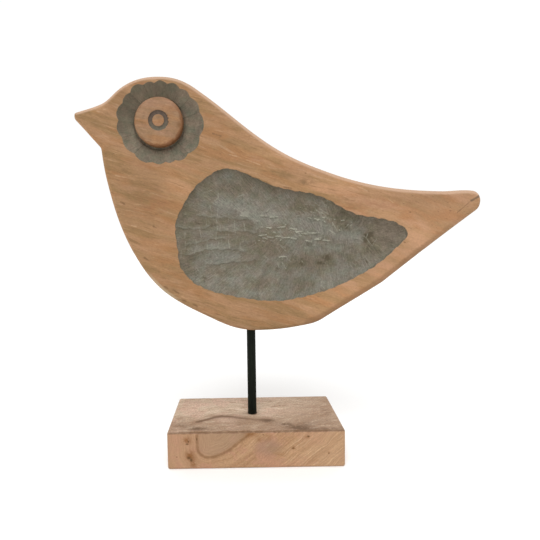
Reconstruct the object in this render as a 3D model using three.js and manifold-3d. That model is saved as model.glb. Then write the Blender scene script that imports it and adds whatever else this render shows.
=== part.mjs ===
// A carved wooden bird on a thin black rod, standing on a wooden block.
// Millimetres, +Z up. The origin is the middle of the block's underside. The beak points along -X and the
// carved face looks along -Y.

import * as THREE from 'three';
import { mergeVertices } from 'three/addons/utils/BufferGeometryUtils.js';
import { RoundedBoxGeometry } from 'three/addons/geometries/RoundedBoxGeometry.js';
import Module from 'manifold-3d';

// Driving dimensions

const CLEARANCE = 0.3; // between pieces that touch

const BASE = { width: 150, depth: 80, height: 32, edgeRadius: 1.8, edgeSteps: 2 };

const ROD = { diameter: 8, x: -2, depthInBase: 20, depthInBird: 22, easedEnd: 0.6, sides: 32 };

const BIRD = { thickness: 25, edgeRadius: 4, edgeSteps: 3, stepsPerStretch: 6 };

// The bird's outline, clockwise from the beak tip. A heading is the direction of the edge in degrees, up
// from +X. A place with a corner has a second heading, with which the edge leaves it.
const BIRD_OUTLINE = [
  { place: 'top of the beak tip', x: -152, z: 304, heading: 17 },
  { place: 'brow', x: -129, z: 311, heading: 22 },
  { place: 'forehead', x: -112, z: 324, heading: 35 },
  { place: 'crown', x: -80, z: 333.5, heading: 0 },
  { place: 'back of the head', x: -55, z: 328, heading: -27 },
  { place: 'nape', x: -40, z: 318, heading: -36 },
  { place: 'back', x: 15, z: 275.5, heading: -34 },
  { place: 'rump', x: 70, z: 249, heading: -20 },
  { place: 'top of the tail', x: 166, z: 232, heading: -2 },
  { place: 'top corner of the tail tip', x: 194, z: 232, heading: -8 },
  { place: 'tail tip', x: 200.5, z: 223, heading: -95 },
  { place: 'lower corner of the tail tip', x: 197, z: 215, heading: -144 },
  { place: 'under the tail', x: 115, z: 153, heading: -142, leaves: -148 },
  { place: 'vent', x: 62, z: 121, heading: -148 },
  { place: 'rear of the belly', x: 40, z: 114.5, heading: -170 },
  { place: 'belly', x: 3, z: 111.5, heading: -180 },
  { place: 'lower breast', x: -35, z: 122, heading: -207 },
  { place: 'breast', x: -70, z: 141, heading: -214 },
  { place: 'chest', x: -101, z: 175.5, heading: -240 },
  { place: 'neck', x: -126, z: 246, heading: -258 },
  { place: 'throat', x: -130, z: 274, heading: -264, leaves: -228 },
  { place: 'bottom of the beak tip', x: -152, z: 299, heading: -227 },
];
const HANDLE_SHARE = 0.36; // a curve's handle, as a share of the stretch between two places

// The wing is a shallow basin that is deepened with a gouge. Strokes start side by side just inside its rim
// and run inwards, every other one past the spine, a low crest where those from above and below meet.
const WING_OUTLINE = [
  [-19.5, 254], [-43.5, 243.5], [-56, 229], [-66.5, 208], [-66, 189], [-62, 167], [-44, 151], [-11, 141.5],
  [26, 138.5], [67, 147.5], [105, 166], [125, 182], [136, 196.5], [120, 207], [89, 214], [58, 229.5],
  [21.5, 238],
];
const BASIN = { rimCut: 0.8, depth: 3.4, wall: 7, pointsRound: 84 };
const SPINE = { z: 195, fromX: 4, toX: 106 };
const STROKE = {
  pitch: 9.8, depth: 5.2, fullness: 2.6, longShare: 1.25, shortShare: 0.66, inset: 2, slantInset: 4,
  sides: 16, stations: 8,
};
const STROKE_WIDTH = { widest: 27, narrowest: 15, shareOfReach: 0.55 };

// The dish round the eye: a ring of petals, each cut inwards from its rim to the seat of the disc. A petal
// has an angle in degrees, up from +X, and reaches so far from the middle of the eye.
const EYE = { x: -78, z: 294 };
const PETALS = [
  [-4, 38], [23, 36.3], [47, 35.2], [67, 35.2], [87, 35.3], [105, 35.3], [124, 37.6], [143, 37],
  [164, 38], [187, 37], [213, 36.3], [243, 36.3], [267, 35.3], [285, 35.2], [303, 37], [327, 38],
];
const PETAL = { length: 52, depth: 6.1, widthShare: 4.2, fullness: 2, sides: 30, stations: 12 };
const SEAT = { x: -79, z: 293.9, radius: 22.7, depth: 6.2, sides: 48 };
const DISC = {
  x: -78.8, z: 294.6, radius: 20.9, standsProud: 1.6, edgeRadius: 1.5, edgeSteps: 3, sides: 48,
};
const RING_GROOVE = { x: -79, z: 295.7, innerRadius: 5.1, outerRadius: 8.6, depth: 1.1, sides: 32 };

const WOOD = new THREE.MeshStandardMaterial({ color: 0xb98a5f, roughness: 0.72, metalness: 0 });
const DISC_WOOD = new THREE.MeshStandardMaterial({ color: 0xb08663, roughness: 0.7, metalness: 0 });
const BLOCK_WOOD = new THREE.MeshStandardMaterial({ color: 0xb08a68, roughness: 0.78, metalness: 0 });
const BLACK_METAL = new THREE.MeshStandardMaterial({ color: 0x1d201d, roughness: 0.5, metalness: 0.4 });

const faceY = -BIRD.thickness / 2; // the carved face
const bellyZ = BIRD_OUTLINE.find(({ place }) => place === 'belly').z;

const wasm = await Module();
wasm.setup();

// Solids

// A closed geometry as a solid that can be joined and cut.
function solid(geometry) {
  geometry.deleteAttribute('normal');
  geometry.deleteAttribute('uv');
  const merged = mergeVertices(geometry);
  const corners = merged.index.array;
  const triVerts = [];
  for (let i = 0; i < corners.length; i += 3) {
    const [a, b, c] = corners.slice(i, i + 3);
    if (a !== b && b !== c && c !== a) triVerts.push(a, b, c);
  }
  return new wasm.Manifold(new wasm.Mesh({
    numProp: 3,
    vertProperties: new Float32Array(merged.attributes.position.array),
    triVerts: new Uint32Array(triVerts),
  }));
}

// A solid as a named mesh of the object.
function piece(name, body, material) {
  const { vertProperties, triVerts } = body.getMesh();
  const geometry = new THREE.BufferGeometry();
  geometry.setAttribute('position', new THREE.BufferAttribute(vertProperties, 3));
  geometry.setIndex(new THREE.BufferAttribute(triVerts, 1));
  geometry.computeVertexNormals();
  const mesh = new THREE.Mesh(geometry, material);
  mesh.name = name;
  return mesh;
}

// A turned solid about the Y axis through x, z. The profile is a list of [radius, y], from +Y to -Y.
function turnedAlongY(profile, x, z, sides) {
  const points = profile.map(([radius, y]) => new THREE.Vector2(radius, y)).reverse();
  return solid(new THREE.LatheGeometry(points, sides).translate(x, 0, z));
}

// An upright round bar from one height to another.
function roundBar(radius, bottom, top, x, sides) {
  const geometry = new THREE.CylinderGeometry(radius, radius, top - bottom, sides);
  return solid(geometry.rotateX(Math.PI / 2).translate(x, 0, (bottom + top) / 2));
}

// A value that jumps about between -1 and 1 from one cut to the next, as a hand does.
function unsteady(number) {
  return Math.sin(number * 2.4 + 1);
}

// Carving

// One gouge cut in the face, from one point to another. It is the dent of a spindle that lies above the
// face and dips into it. A fuller spindle enters the wood more steeply at its two ends.
function gougeCut({ from, to, width, depth, fullness, sides, stations }) {
  const girth = (width ** 2 / 4 + depth ** 2) / (2 * depth);
  const above = girth - depth;
  const radiusAt = (t) => girth * Math.max(0, 1 - Math.abs(t) ** fullness) ** (1 / fullness);
  const markShare = (1 - (above / girth) ** fullness) ** (1 / fullness);
  const along = new THREE.Vector2().subVectors(to, from);
  const halfLength = along.length() / 2 / markShare;
  const profile = Array.from({ length: stations + 1 }, (_, i) => {
    const t = Math.sin((i / stations - 0.5) * Math.PI);
    return new THREE.Vector2(radiusAt(t), halfLength * t);
  });
  const spindle = new THREE.LatheGeometry(profile, sides);
  spindle.rotateZ(-Math.PI / 2).rotateY(-along.angle());
  return solid(spindle.translate((from.x + to.x) / 2, faceY - above, (from.y + to.y) / 2));
}

function wingRim() {
  const corners = WING_OUTLINE.map(([x, z]) => new THREE.Vector3(x, z, 0));
  return new THREE.CatmullRomCurve3(corners, true, 'catmullrom', 0.5);
}

// The wing's basin: a short upright cut at its rim, then a slope down to a flat floor.
function wingBasin() {
  const shape = new THREE.Shape(wingRim().getSpacedPoints(BASIN.pointsRound).slice(0, -1));
  const geometry = new THREE.ExtrudeGeometry(shape, {
    depth: BIRD.thickness,
    bevelThickness: BASIN.depth - BASIN.rimCut,
    bevelSize: BASIN.wall,
    bevelOffset: -BASIN.wall,
    bevelSegments: 1,
  });
  return solid(geometry.rotateX(Math.PI / 2).translate(0, faceY + BASIN.rimCut, 0));
}

// The strokes from the wing's rim. Points on the face are Vector2 with x and z.
function wingCuts() {
  const rim = wingRim();
  const xs = WING_OUTLINE.map(([x]) => x);
  const [left, right] = [Math.min(...xs), Math.max(...xs)];
  const count = 2 * Math.round(rim.getLength() / STROKE.pitch / 2);
  return Array.from({ length: count }, (_, i) => {
    const u = (i + 0.25 + 0.2 * unsteady(i)) / count;
    const start = rim.getPointAt(u);
    const tangent = rim.getTangentAt(u);
    const share = (start.x - left) / (right - left);
    const meets = new THREE.Vector2(THREE.MathUtils.lerp(SPINE.fromX, SPINE.toX, share), SPINE.z);
    const slant = new THREE.Vector2(tangent.x, tangent.y).dot(meets.clone().sub(start).normalize());
    const inset = STROKE.inset + STROKE.slantInset * slant ** 2;
    const from = new THREE.Vector2(start.x - tangent.y * inset, start.y + tangent.x * inset);
    const to = from.clone().lerp(meets, i % 2 === 0 ? STROKE.longShare : STROKE.shortShare);
    const roomy = STROKE_WIDTH.shareOfReach * from.distanceTo(meets);
    const width = THREE.MathUtils.clamp(roomy, STROKE_WIDTH.narrowest, STROKE_WIDTH.widest);
    return { ...STROKE, from, to, width, depth: STROKE.depth * (1 + 0.08 * unsteady(i * i)) };
  });
}

// The petals of the eye dish. A petal is as wide as the room that its neighbours leave it.
function petalCuts() {
  return PETALS.map(([angle, reach], i) => {
    const before = PETALS.at(i - 1)[0] - (i === 0 ? 360 : 0);
    const after = PETALS[(i + 1) % PETALS.length][0] + (i === PETALS.length - 1 ? 360 : 0);
    const halfRoom = THREE.MathUtils.degToRad((after - before) / 4);
    const width = PETAL.widthShare * reach * Math.sin(halfRoom);
    const direction = THREE.MathUtils.degToRad(angle);
    const outwards = new THREE.Vector2(Math.cos(direction), Math.sin(direction));
    const middle = new THREE.Vector2(EYE.x, EYE.z);
    const from = middle.clone().addScaledVector(outwards, reach);
    const to = middle.addScaledVector(outwards, reach - PETAL.length);
    return { ...PETAL, from, to, width };
  });
}

// The four pieces

// The sawn plank with its eased edges, before it is carved.
function plank() {
  const shape = new THREE.Shape();
  const [first] = BIRD_OUTLINE;
  shape.moveTo(first.x, first.z);
  BIRD_OUTLINE.slice(1).forEach((to, i) => {
    const from = BIRD_OUTLINE[i];
    const handle = HANDLE_SHARE * Math.hypot(to.x - from.x, to.z - from.z);
    const leaves = THREE.MathUtils.degToRad(from.leaves ?? from.heading);
    const arrives = THREE.MathUtils.degToRad(to.heading);
    shape.bezierCurveTo(
      from.x + handle * Math.cos(leaves), from.z + handle * Math.sin(leaves),
      to.x - handle * Math.cos(arrives), to.z - handle * Math.sin(arrives),
      to.x, to.z);
  });
  const flatPart = BIRD.thickness - 2 * BIRD.edgeRadius;
  const geometry = new THREE.ExtrudeGeometry(shape, {
    depth: flatPart,
    curveSegments: BIRD.stepsPerStretch,
    bevelThickness: BIRD.edgeRadius,
    bevelSize: BIRD.edgeRadius,
    bevelOffset: -BIRD.edgeRadius,
    bevelSegments: BIRD.edgeSteps,
  });
  return solid(geometry.translate(0, 0, -flatPart / 2).rotateX(Math.PI / 2));
}

function birdBody() {
  const cuts = [...wingCuts(), ...petalCuts()].map(gougeCut);
  const seat = turnedAlongY(
    [[0, faceY + SEAT.depth], [SEAT.radius, faceY + SEAT.depth], [SEAT.radius, 2 * faceY], [0, 2 * faceY]],
    SEAT.x, SEAT.z, SEAT.sides);
  const top = bellyZ + ROD.depthInBird + CLEARANCE;
  const rodHole = roundBar(ROD.diameter / 2 + CLEARANCE, BASE.height, top, ROD.x, ROD.sides);
  const carving = wasm.Manifold.union([wingBasin(), ...cuts, seat, rodHole]);
  return plank().subtract(carving);
}

function eyeDisc() {
  const back = faceY + SEAT.depth - CLEARANCE;
  const front = faceY - DISC.standsProud;
  const roundedEdge = Array.from({ length: DISC.edgeSteps + 1 }, (_, i) => {
    const angle = (i / DISC.edgeSteps) * Math.PI / 2;
    const radius = DISC.radius - DISC.edgeRadius * (1 - Math.cos(angle));
    return [radius, front + DISC.edgeRadius * (1 - Math.sin(angle))];
  });
  const disc = turnedAlongY(
    [[0, back], [DISC.radius, back], ...roundedEdge, [0, front]], DISC.x, DISC.z, DISC.sides);
  const { innerRadius, outerRadius, depth, x, z, sides } = RING_GROOVE;
  const floor = front + depth;
  const clear = front - depth;
  const groove = turnedAlongY(
    [[innerRadius, floor], [outerRadius, floor], [outerRadius, clear], [innerRadius, clear],
      [innerRadius, floor]], x, z, sides);
  return disc.subtract(groove);
}

function standRod() {
  const bottom = BASE.height - ROD.depthInBase;
  const top = bellyZ + ROD.depthInBird;
  const radius = ROD.diameter / 2;
  const eased = radius - ROD.easedEnd;
  const profile = [
    [0, bottom], [eased, bottom], [radius, bottom + ROD.easedEnd],
    [radius, top - ROD.easedEnd], [eased, top], [0, top],
  ].map(([r, z]) => new THREE.Vector2(r, z));
  const geometry = new THREE.LatheGeometry(profile, ROD.sides);
  return solid(geometry.rotateX(Math.PI / 2).translate(ROD.x, 0, 0));
}

function baseBlock() {
  const { width, depth, height, edgeSteps, edgeRadius } = BASE;
  const block = new RoundedBoxGeometry(width, depth, height, edgeSteps, edgeRadius);
  const bottom = height - ROD.depthInBase - CLEARANCE;
  const hole = roundBar(ROD.diameter / 2 + CLEARANCE, bottom, height * 2, ROD.x, ROD.sides);
  return solid(block.translate(0, 0, height / 2)).subtract(hole);
}

const group = new THREE.Group();
group.add(
  piece('bird_body', birdBody(), WOOD),
  piece('eye_disc', eyeDisc(), DISC_WOOD),
  piece('stand_rod', standRod(), BLACK_METAL),
  piece('base_block', baseBlock(), BLOCK_WOOD),
);

export default group;
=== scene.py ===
"""The looks of a carved wooden bird on a black rod and a wooden block.

Lengths and places are in millimetres until a mesh is made. A point on the bird's face is (x, z).
"""

import math

import bmesh
import bpy
import numpy as np
from mathutils import Matrix, Vector, kdtree
from mathutils.geometry import delaunay_2d_cdt


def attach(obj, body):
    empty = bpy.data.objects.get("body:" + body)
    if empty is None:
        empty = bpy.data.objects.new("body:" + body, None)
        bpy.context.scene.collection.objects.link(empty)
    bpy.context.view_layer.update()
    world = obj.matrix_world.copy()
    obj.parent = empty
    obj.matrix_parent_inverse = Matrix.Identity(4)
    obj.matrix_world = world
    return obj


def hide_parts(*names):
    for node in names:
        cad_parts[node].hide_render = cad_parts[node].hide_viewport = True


MM = 0.001
CLEARANCE = 0.3  # between a piece and the hole that it sits in

# The block and the rod
BASE = {"width": 150, "depth": 80, "height": 32, "edge_radius": 1.8}
ROD = {"radius": 4, "x": -2, "depth_in_base": 20, "depth_in_bird": 22, "eased_end": 0.6}

# The bird's plank: its outline runs clockwise from the beak tip, as (place, x, z, heading in degrees).
# A place with a corner has a second heading, with which the edge leaves it.
THICKNESS = 25
EDGE_RADIUS = 4
HANDLE_SHARE = 0.36
BELLY_Z = 111.5
BIRD_OUTLINE = [
    ("top of the beak tip", -152, 304, 17),
    ("brow", -129, 311, 22),
    ("forehead", -112, 324, 35),
    ("crown", -80, 333.5, 0),
    ("back of the head", -55, 328, -27),
    ("nape", -40, 318, -36),
    ("back", 15, 275.5, -34),
    ("rump", 70, 249, -20),
    ("top of the tail", 166, 232, -2),
    ("top corner of the tail tip", 194, 232, -8),
    ("tail tip", 200.5, 223, -95),
    ("lower corner of the tail tip", 197, 215, -144),
    ("under the tail", 115, 153, -142, -148),
    ("vent", 62, 121, -148),
    ("rear of the belly", 40, 114.5, -170),
    ("belly", 3, 111.5, -180),
    ("lower breast", -35, 122, -207),
    ("breast", -70, 141, -214),
    ("chest", -101, 175.5, -240),
    ("neck", -126, 246, -258),
    ("throat", -130, 274, -264, -228),
    ("bottom of the beak tip", -152, 299, -227),
]

# The wing: a shallow basin with a smooth rim, deepened by gouge strokes
WING_OUTLINE = [
    (-19.5, 254), (-43.5, 243.5), (-56, 229), (-66.5, 208), (-66, 189), (-62, 167), (-44, 151),
    (-11, 141.5), (26, 138.5), (67, 147.5), (105, 166), (125, 182), (136, 196.5), (120, 207),
    (89, 214), (58, 229.5), (21.5, 238),
]
BASIN = {"rim_cut": 0.8, "rim_cut_lean": 0.35, "depth": 3.4, "wall": 7, "scallop": 1.05}
SPINE = {"z": 195, "from_x": 4, "to_x": 106}
STROKE = {
    "pitch": 9.8, "depth": 5.2, "fullness": 2.6, "long_share": 1.25, "short_share": 0.66,
    "inset": 2, "slant_inset": 4, "widest": 27, "narrowest": 15, "share_of_reach": 0.55, "softness": 0.35,
}

# The dish round the eye, as (angle in degrees, reach) of each petal, and what sits in it
EYE = (-78, 294)
PETALS = [
    (-4, 38), (23, 36.3), (47, 35.2), (67, 35.2), (87, 35.3), (105, 35.3), (124, 37.6), (143, 37),
    (164, 38), (187, 37), (213, 36.3), (243, 36.3), (267, 35.3), (285, 35.2), (303, 37), (327, 38),
]
PETAL = {"length": 52, "depth": 6.1, "width_share": 4.2, "fullness": 2, "softness": 0.07}
SEAT = {"middle": (-79, 293.9), "radius": 22.7, "depth": 6.2}
DISC = {"middle": (-78.8, 294.6), "radius": 20.9, "stands_proud": 1.6, "edge_radius": 1.5}
RING_GROOVE = {"middle": (-79, 295.7), "inner": 5.1, "outer": 8.6, "depth": 1.1}
RAGGED_EDGE = {"teeth": 8, "height": 0.85, "smooth_share": 0.35, "turned": 0.15}  # of the ring groove

# What the tools left in the wing: chips with a raised pale lip and upright ticks, both in rows given as
# (x, z, x, z, count), and single scratches, as (x, z, length, heading in degrees)
CHIP_ROWS = [
    (6, 196, 40, 193, 5), (40, 198, 58, 197, 4), (46, 191, 70, 191, 3), (10, 203, 42, 202, 3),
    (6, 213, 24, 212, 2), (57, 210, 57, 210, 1), (27, 176, 27, 176, 1), (-7, 214, -7, 214, 1),
]
CHIP = {"length": 5.5, "width": 0.8, "heading": -4, "lean": 10, "drift": 0.8}
TICK_ROWS = [
    (-39, 219, -27, 218, 2), (-45, 209, -26, 206, 2), (-66, 198, -25, 197, 3), (-20, 204, -2, 203, 2),
    (-64, 190, -6, 187, 6),
]
TICK = {"length": 6.5, "width": 0.4, "heading": 92, "lean": 7, "drift": 1}
SCRATCHES = [
    (-48, 166, 5, -50), (-36, 171, 4, -40), (28, 169, 7, -60), (23, 169, 5, -70), (62, 188, 3, 25),
    (73, 203, 8, -60), (71, 198, 6, -35), (79, 199, 5, -85), (84, 203, 4, 45), (88, 204, 3, 40),
    (64, 216, 9, -30), (67, 210, 7, -35), (63, 204, 6, -10), (105, 187, 5, -45), (109, 189, 5, 55),
    (102, 191, 7, -50), (102, 194, 5, 70),
]
SCRATCH_WIDTH = 0.4

# Marks strewn round one place, with their headings between two angles
MORE_CHIPS = {
    "middle": (40, 203), "spread": (28, 9), "headings": (-35, 20), "count": 34, "length": 3,
    "width": 0.4, "seed": 5,
}
MORE_SCRATCHES = [
    {
        "middle": (-28, 205), "spread": (20, 18), "headings": (80, 97), "count": 26, "length": 7,
        "width": 0.2, "seed": 8,
    }, {
        "middle": (0, 222), "spread": (34, 10), "headings": (10, 35), "count": 20, "length": 9,
        "width": 0.16, "seed": 3,
    }, {
        "middle": (58, 214), "spread": (9, 6), "headings": (-42, -12), "count": 26, "length": 8,
        "width": 0.2, "seed": 6,
    }, {
        "middle": (40, 170), "spread": (50, 12), "headings": (-60, -30), "count": 40, "length": 8,
        "width": 0.16, "seed": 4,
    },
]

# Ledges between rows of strokes at the wing's left, as (x, z, x, z, arch) from left to right
LEDGES = [
    (-48, 214, -1, 210, 0), (-65, 205, -37, 205, -3), (-32, 200, 4, 198, 1), (-58, 188, -24, 194, 1),
    (-59, 179, -8, 182, 4), (-34, 171, 3, 174, 0),
]
LEDGE = {"height": 0.32, "fades_above": 5, "fades_below": 3, "wobble": 0.8, "fades_to_right": (12, -6)}

# The floor of the wing: its swell, its steps where a stroke was made in several pushes, and dents, as
# (x, z, radius, depth)
SWELL = 0.11
STEP = {"length": 6.5, "height": 0.15, "smooth_share": 0.4}
CHIP_DEPTH = 0.16
CHIP_SHADOW = 1.1  # how far below a chip the painted shadow reaches
DENTS = [
    (104, 194, 3, 0.5), (103, 189, 3.4, 0.3), (66, 175, 3.4, 0.3), (60, 170, 3.6, 0.3),
    (-6, 214, 3.4, -0.5),
]

# Dark and pale spots in the paint, as (x, z, half width, half height, strength): dirt,
# with painted shade in the dents and a painted highlight on the raised bump near (-7, 214)
GRIME_AND_PAINTED_LIGHT = [
    (104.4, 194.6, 4.4, 2.6, 1), (100.2, 190.6, 3, 3.6, 0.8), (106, 188, 3.4, 3, 0.6),
    (66.6, 175.2, 3.6, 2.6, 0.9), (61, 170.6, 4, 2.2, 0.8),
    (44.6, 171.6, 3.2, 4, 0.6), (101.5, 171.1, 1.2, 1.2, 0.9), (-49, 207.6, 4, 1.8, 0.5),
    (-26.3, 210.6, 4, 1.2, 0.4), (-34, 206, 5, 2, 0.35), (-50.6, 164, 2, 3, 0.4), (-42, 158, 3, 2, 0.5),
    (-7, 213.6, 3.6, 2.4, -2), (-4.4, 216.4, 3, 2, -0.7), (17, 213, 3, 1.6, -0.8), (-36, 188, 3, 3.4, -0.5),
    (4, 203, 6, 3, -0.7), (24, 199, 5, 2, -0.6), (62, 206, 4, 3, -0.6), (30, 215, 4, 3, -0.5),
    (10, 196, 5, 1.6, 0.5), (52, 187, 6, 2, 0.4), (36, 174, 3, 2, 0.5), (84, 203, 3, 4, 0.4),
    (22, 166, 2, 2, 0.5),
]

# Where the grey paint is warmer and browner, or cooler and paler below zero, as
# (x, z, half width, half height, strength)
PAINT_ZONES = [
    (-57, 216, 12, 14, 0.8), (-60, 178, 8, 18, 1), (43, 220, 14, 6, 0.9), (8, 187, 20, 9, 0.8),
    (84, 213, 14, 8, 1.1), (106, 192, 7, 8, 1), (122, 198, 16, 14, 1.2), (44, 171, 12, 6, 0.8),
    (66, 173, 8, 6, 0.8), (-44, 209, 10, 5, 0.7), (-28, 197, 16, 4, 0.5), (8, 153, 12, 6, 0.6),
    (-14, 241, 22, 8, 0.9), (-26, 208, 14, 3, 0.5), (96, 180, 14, 10, 0.5), (-3, 204, 8, 5, 0.5),
    (15, 213, 20, 9, -1), (52, 204, 14, 8, -1), (80, 195, 15, 7, -0.9), (-16, 222, 16, 8, -1),
    (-20, 178, 16, 5, -0.9), (60, 184, 18, 6, -0.6), (-4, 163, 20, 6, -0.4), (72, 160, 20, 6, -0.4),
    (-38, 197, 8, 3, -0.5), (32, 189, 10, 5, -0.4), (-37, 187, 5, 4, -0.8),
]
WING_TIP = [(122, 200, 14, 14, 1)]
OVERHANG = {"low": 190, "high": 230, "reach": 6.5, "full": 1}  # the painted shade below the wing's upper rim
DISH_SHADE = {"towards": (-0.5, 0.86), "reach": 36, "low": -0.1, "high": 0.8}  # the painted shade in its upper left

# Small marks in the bird's wood, dark and pale, as (x, z, length, heading in degrees)
WOOD_MARKS = [
    (-93, 177, 5, -30), (-77, 152, 4, -30), (-68, 148, 6, -32), (-61, 140, 5, -30), (-51, 135, 4, -30),
    (-85, 205, 3, -27), (-29, 283, 7, -18), (31, 237, 6, -10), (-112, 226, 4, -30), (133, 188, 1, -20),
    (188, 218, 0.5, 0), (138, 214, 0.5, 0), (47, 249, 0.5, 0),
]
PALE_MARKS = [
    (-15, 265, 9, -15), (2, 259, 12, -20), (4, 279, 9, -20), (26, 264, 11, -20), (96, 235, 10, -25),
    (121, 224, 5, -38), (-103, 206, 4, -20), (-114, 249, 8, -15), (-124, 306, 4, 8), (-130, 304, 3, -8),
]
WOOD_MARK_WIDTH = 0.5

# The crack in the tail's tip, as (x, z, x, z): its open end and its fine end
TAIL_CRACK = [(200, 228, 191, 223)]
FINE_CRACK = [(191, 223, 179, 213)]
CRACK_WIDTH = 1.3
FINE_CRACK_WIDTH = 0.3

# Stains in the bird's wood, as (x, z, half width, half height, strength)
WOOD_STAINS = [
    (30, 248, 7, 3.4, 0.9), (47, 241, 8, 3, 1.5), (-92, 236, 16, 3, 0.6), (-112, 214, 10, 6, 0.3),
    (159, 196, 4, 3, 0.8), (140, 222, 22, 8, 0.25), (-70, 156, 16, 8, 0.4), (6, 128, 26, 8, 0.4),
]
SHADED_EDGE_UNDER_TAIL = [(50, 116), (62, 121), (115, 153), (197, 215)]  # the edge under the tail, darkened as painted shade
LIT_RIM = {"middle": (-80, 151), "reach": 24}  # where the lower edge has a painted highlight

# Where the bird's wood is paler, or darker below zero
WOOD_ZONES = [
    (18, 266, 24, 9, 1.5), (65, 238, 28, 7, 1), (145, 193, 22, 10, 1.1), (-61, 240, 12, 14, 1),
    (-97, 240, 18, 30, -0.6), (159, 228, 28, 7, -0.8), (-135, 308, 10, 4, 2), (-134, 297, 12, 5, -0.3),
    (66, 136, 22, 9, 1.7), (96, 150, 20, 9, 0.9), (122, 158, 14, 7, 1.1), (-110, 318, 6, 5, -1),
    (-20, 118, 30, 6, -0.4),
    (-72, 329, 14, 2.6, 0.9), (80, 240, 60, 5, 0.8), (-116, 308, 6, 5, -0.7), (120, 213, 18, 6, 0.9),
]
REDDISH_ZONES = [
    (-92, 329, 12, 4, 1), (-106, 306, 6, 10, 0.7), (-62, 324, 12, 3, 0.6), (110, 221, 40, 6, 0.5),
    (-74, 258, 26, 3, 0.6), (-84, 226, 20, 14, 0.5), (0, 262, 26, 5, 0.4),
]

# Stains in the disc, as (x, z, half width, half height, strength)
DISC_STAINS = [
    (-60.6, 291, 2.4, 3.4, 1), (-62, 282.4, 2.6, 2.4, 1), (-66, 278, 4, 1.6, 1), (-79, 274.6, 10, 0.9, 0.7),
    (-66, 304, 4, 4, 0.35), (-61.4, 297, 2, 4, 0.4),
]

# The block's figure: a year ring round the heart on its front (x, z), and the crest line on its top (x, y)
HEART_LINE = [
    (-50, 62), (-50, 24), (-49, 14), (-43, 9.6), (-34, 10.6), (-24, 15), (-7.2, 28.5), (33, 62), (90, 110),
]
TOP_LINE = [(-76, -34), (-54, -21), (-36, -9), (-28, -6), (-8, -14), (14, -18), (34, -25), (76, -33)]
HEART_TOP = 31  # how high the dark ring round the heart reaches
DARK_LINE = (-52, 14)  # where the crest line is dark, along X
LOG_MIDDLE = (-12, -46)  # the middle of the rings on the block's ends (y, z)
TOP_STAINS = [
    (-49.5, -32.6, 8, 3, 1.6), (-58, -28, 6, 3, 0.5), (26, -26.5, 6, 3.6, 1.2), (34, -32, 9, 4.4, 1.1),
    (40, -36, 8, 4, 1.3), (46, -28, 6, 5, 0.7), (-4, -1, 8, 4, 0.7), (11, -18.4, 6, 3.4, 1.6),
    (54, -22, 12, 6, 0.4), (-30, -9, 8, 3, 0.7), (60, -37, 14, 2.4, 0.9), (-66, -10, 3, 4, 0.4),
    (66, -2, 4, 12, 0.4), (-62, 28, 14, 4, 0.3), (44, -6, 5, 2, 0.7), (54, 10, 16, 5, 0.35),
    (-66, -24, 6, 8, 0.5), (-12, -12, 6, 4, 0.4),
]
FRONT_STAINS = [
    (-58, 25, 3.4, 2.6, 1), (-56, 12, 4, 4, 1.1), (-53, 5, 3, 3.6, 0.9), (-4, 29.4, 5, 2.4, 0.8),
    (3, 25, 3, 2, 0.6), (10, 27, 3, 3, 0.5), (43.3, 26.5, 1.6, 1, 1), (31.3, 17, 1.4, 1.2, 1),
    (61, 12.4, 0.9, 0.9, 1), (20, 12, 6, 1.2, 0.4), (52, 6, 5, 1, 0.3),
]
GREY_ZONES = [(10, 18, 13, 8, 1), (-52, 27, 6, 6, 0.3)]

# Dark specks in the block's front, as (x, z, half width, half height)
FRONT_SPECKS = [
    (-58, 22, 1.3, 0.7), (-57, 24, 0.6, 0.9), (-57, 10, 1.7, 1.2), (-55, 8, 1.2, 1.6), (-67, 11, 0.7, 0.5),
    (44, 27, 1.3, 0.7), (31, 17, 1.2, 0.6), (61, 12, 0.5, 0.5), (6, 29, 0.9, 0.6), (-50, 26, 0.4, 1.2),
]

# How finely the surfaces are meshed
EDGE_GAP = 0.95  # along the outline
CARVED_GAP = 0.66
FLAT_GAP = 2.2
BACK_GAP = 2.6
EDGE_RINGS = 6  # rings of points round a rounded edge
SIDE_ROWS = 7
HOLE_GAP = 0.9
HOLE_RINGS = 8
DISC_MESH = {"outline_gap": 0.8, "front_gap": 0.5, "back_gap": 3, "edge_rings": 5, "side_rows": 6}
ROD_MESH = {"rings": 80, "points_round": 64}
BLOCK_MESH = {"outline_gap": 1.1, "face_gap": 1.2, "edge_rings": 4, "side_rows": 22}
SEAT_WALL = 0.8  # how far the wall round the disc leans
FAR = 50.0  # stands for a distance where there is nothing near


def frac(values):
    return values - np.floor(values)


def scatter(*numbers):
    """A number between 0 and 1 that looks random, the same each time for the same numbers."""
    mixed = sum(np.asarray(number) * factor for number, factor in zip(numbers, (12.9898, 78.233, 37.719)))
    return frac(np.sin(mixed) * 43758.5453)


def unsteady(number):
    """A value that jumps about between -1 and 1 from one cut to the next, as a hand does."""
    return math.sin(number * 2.4 + 1)


def ease(values, low, high):
    """A step from 0 at low to 1 at high, without corners."""
    share = np.clip((values - low) / (high - low), 0, 1)
    return share * share * (3 - 2 * share)


# Flat lines and points


def lengths_along(line):
    return np.concatenate([[0], np.cumsum(np.linalg.norm(np.diff(line, axis=0), axis=1))])


def places_along(line, at):
    """The places at some lengths along an open line."""
    along = lengths_along(line)
    return np.stack([np.interp(at, along, line[:, k]) for k in (0, 1)], axis=1)


def evenly(line, gap):
    """An open line again, with its points about a gap apart."""
    length = lengths_along(line)[-1]
    return places_along(line, np.linspace(0, length, max(1, round(length / gap)) + 1))


def softened(loop, rounds):
    """A closed line with its corners rounded a little."""
    for _ in range(rounds):
        loop = (np.roll(loop, 1, axis=0) + 2 * loop + np.roll(loop, -1, axis=0)) / 4
    return loop


def closed(loop):
    return np.concatenate([loop, loop[:1]])


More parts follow.
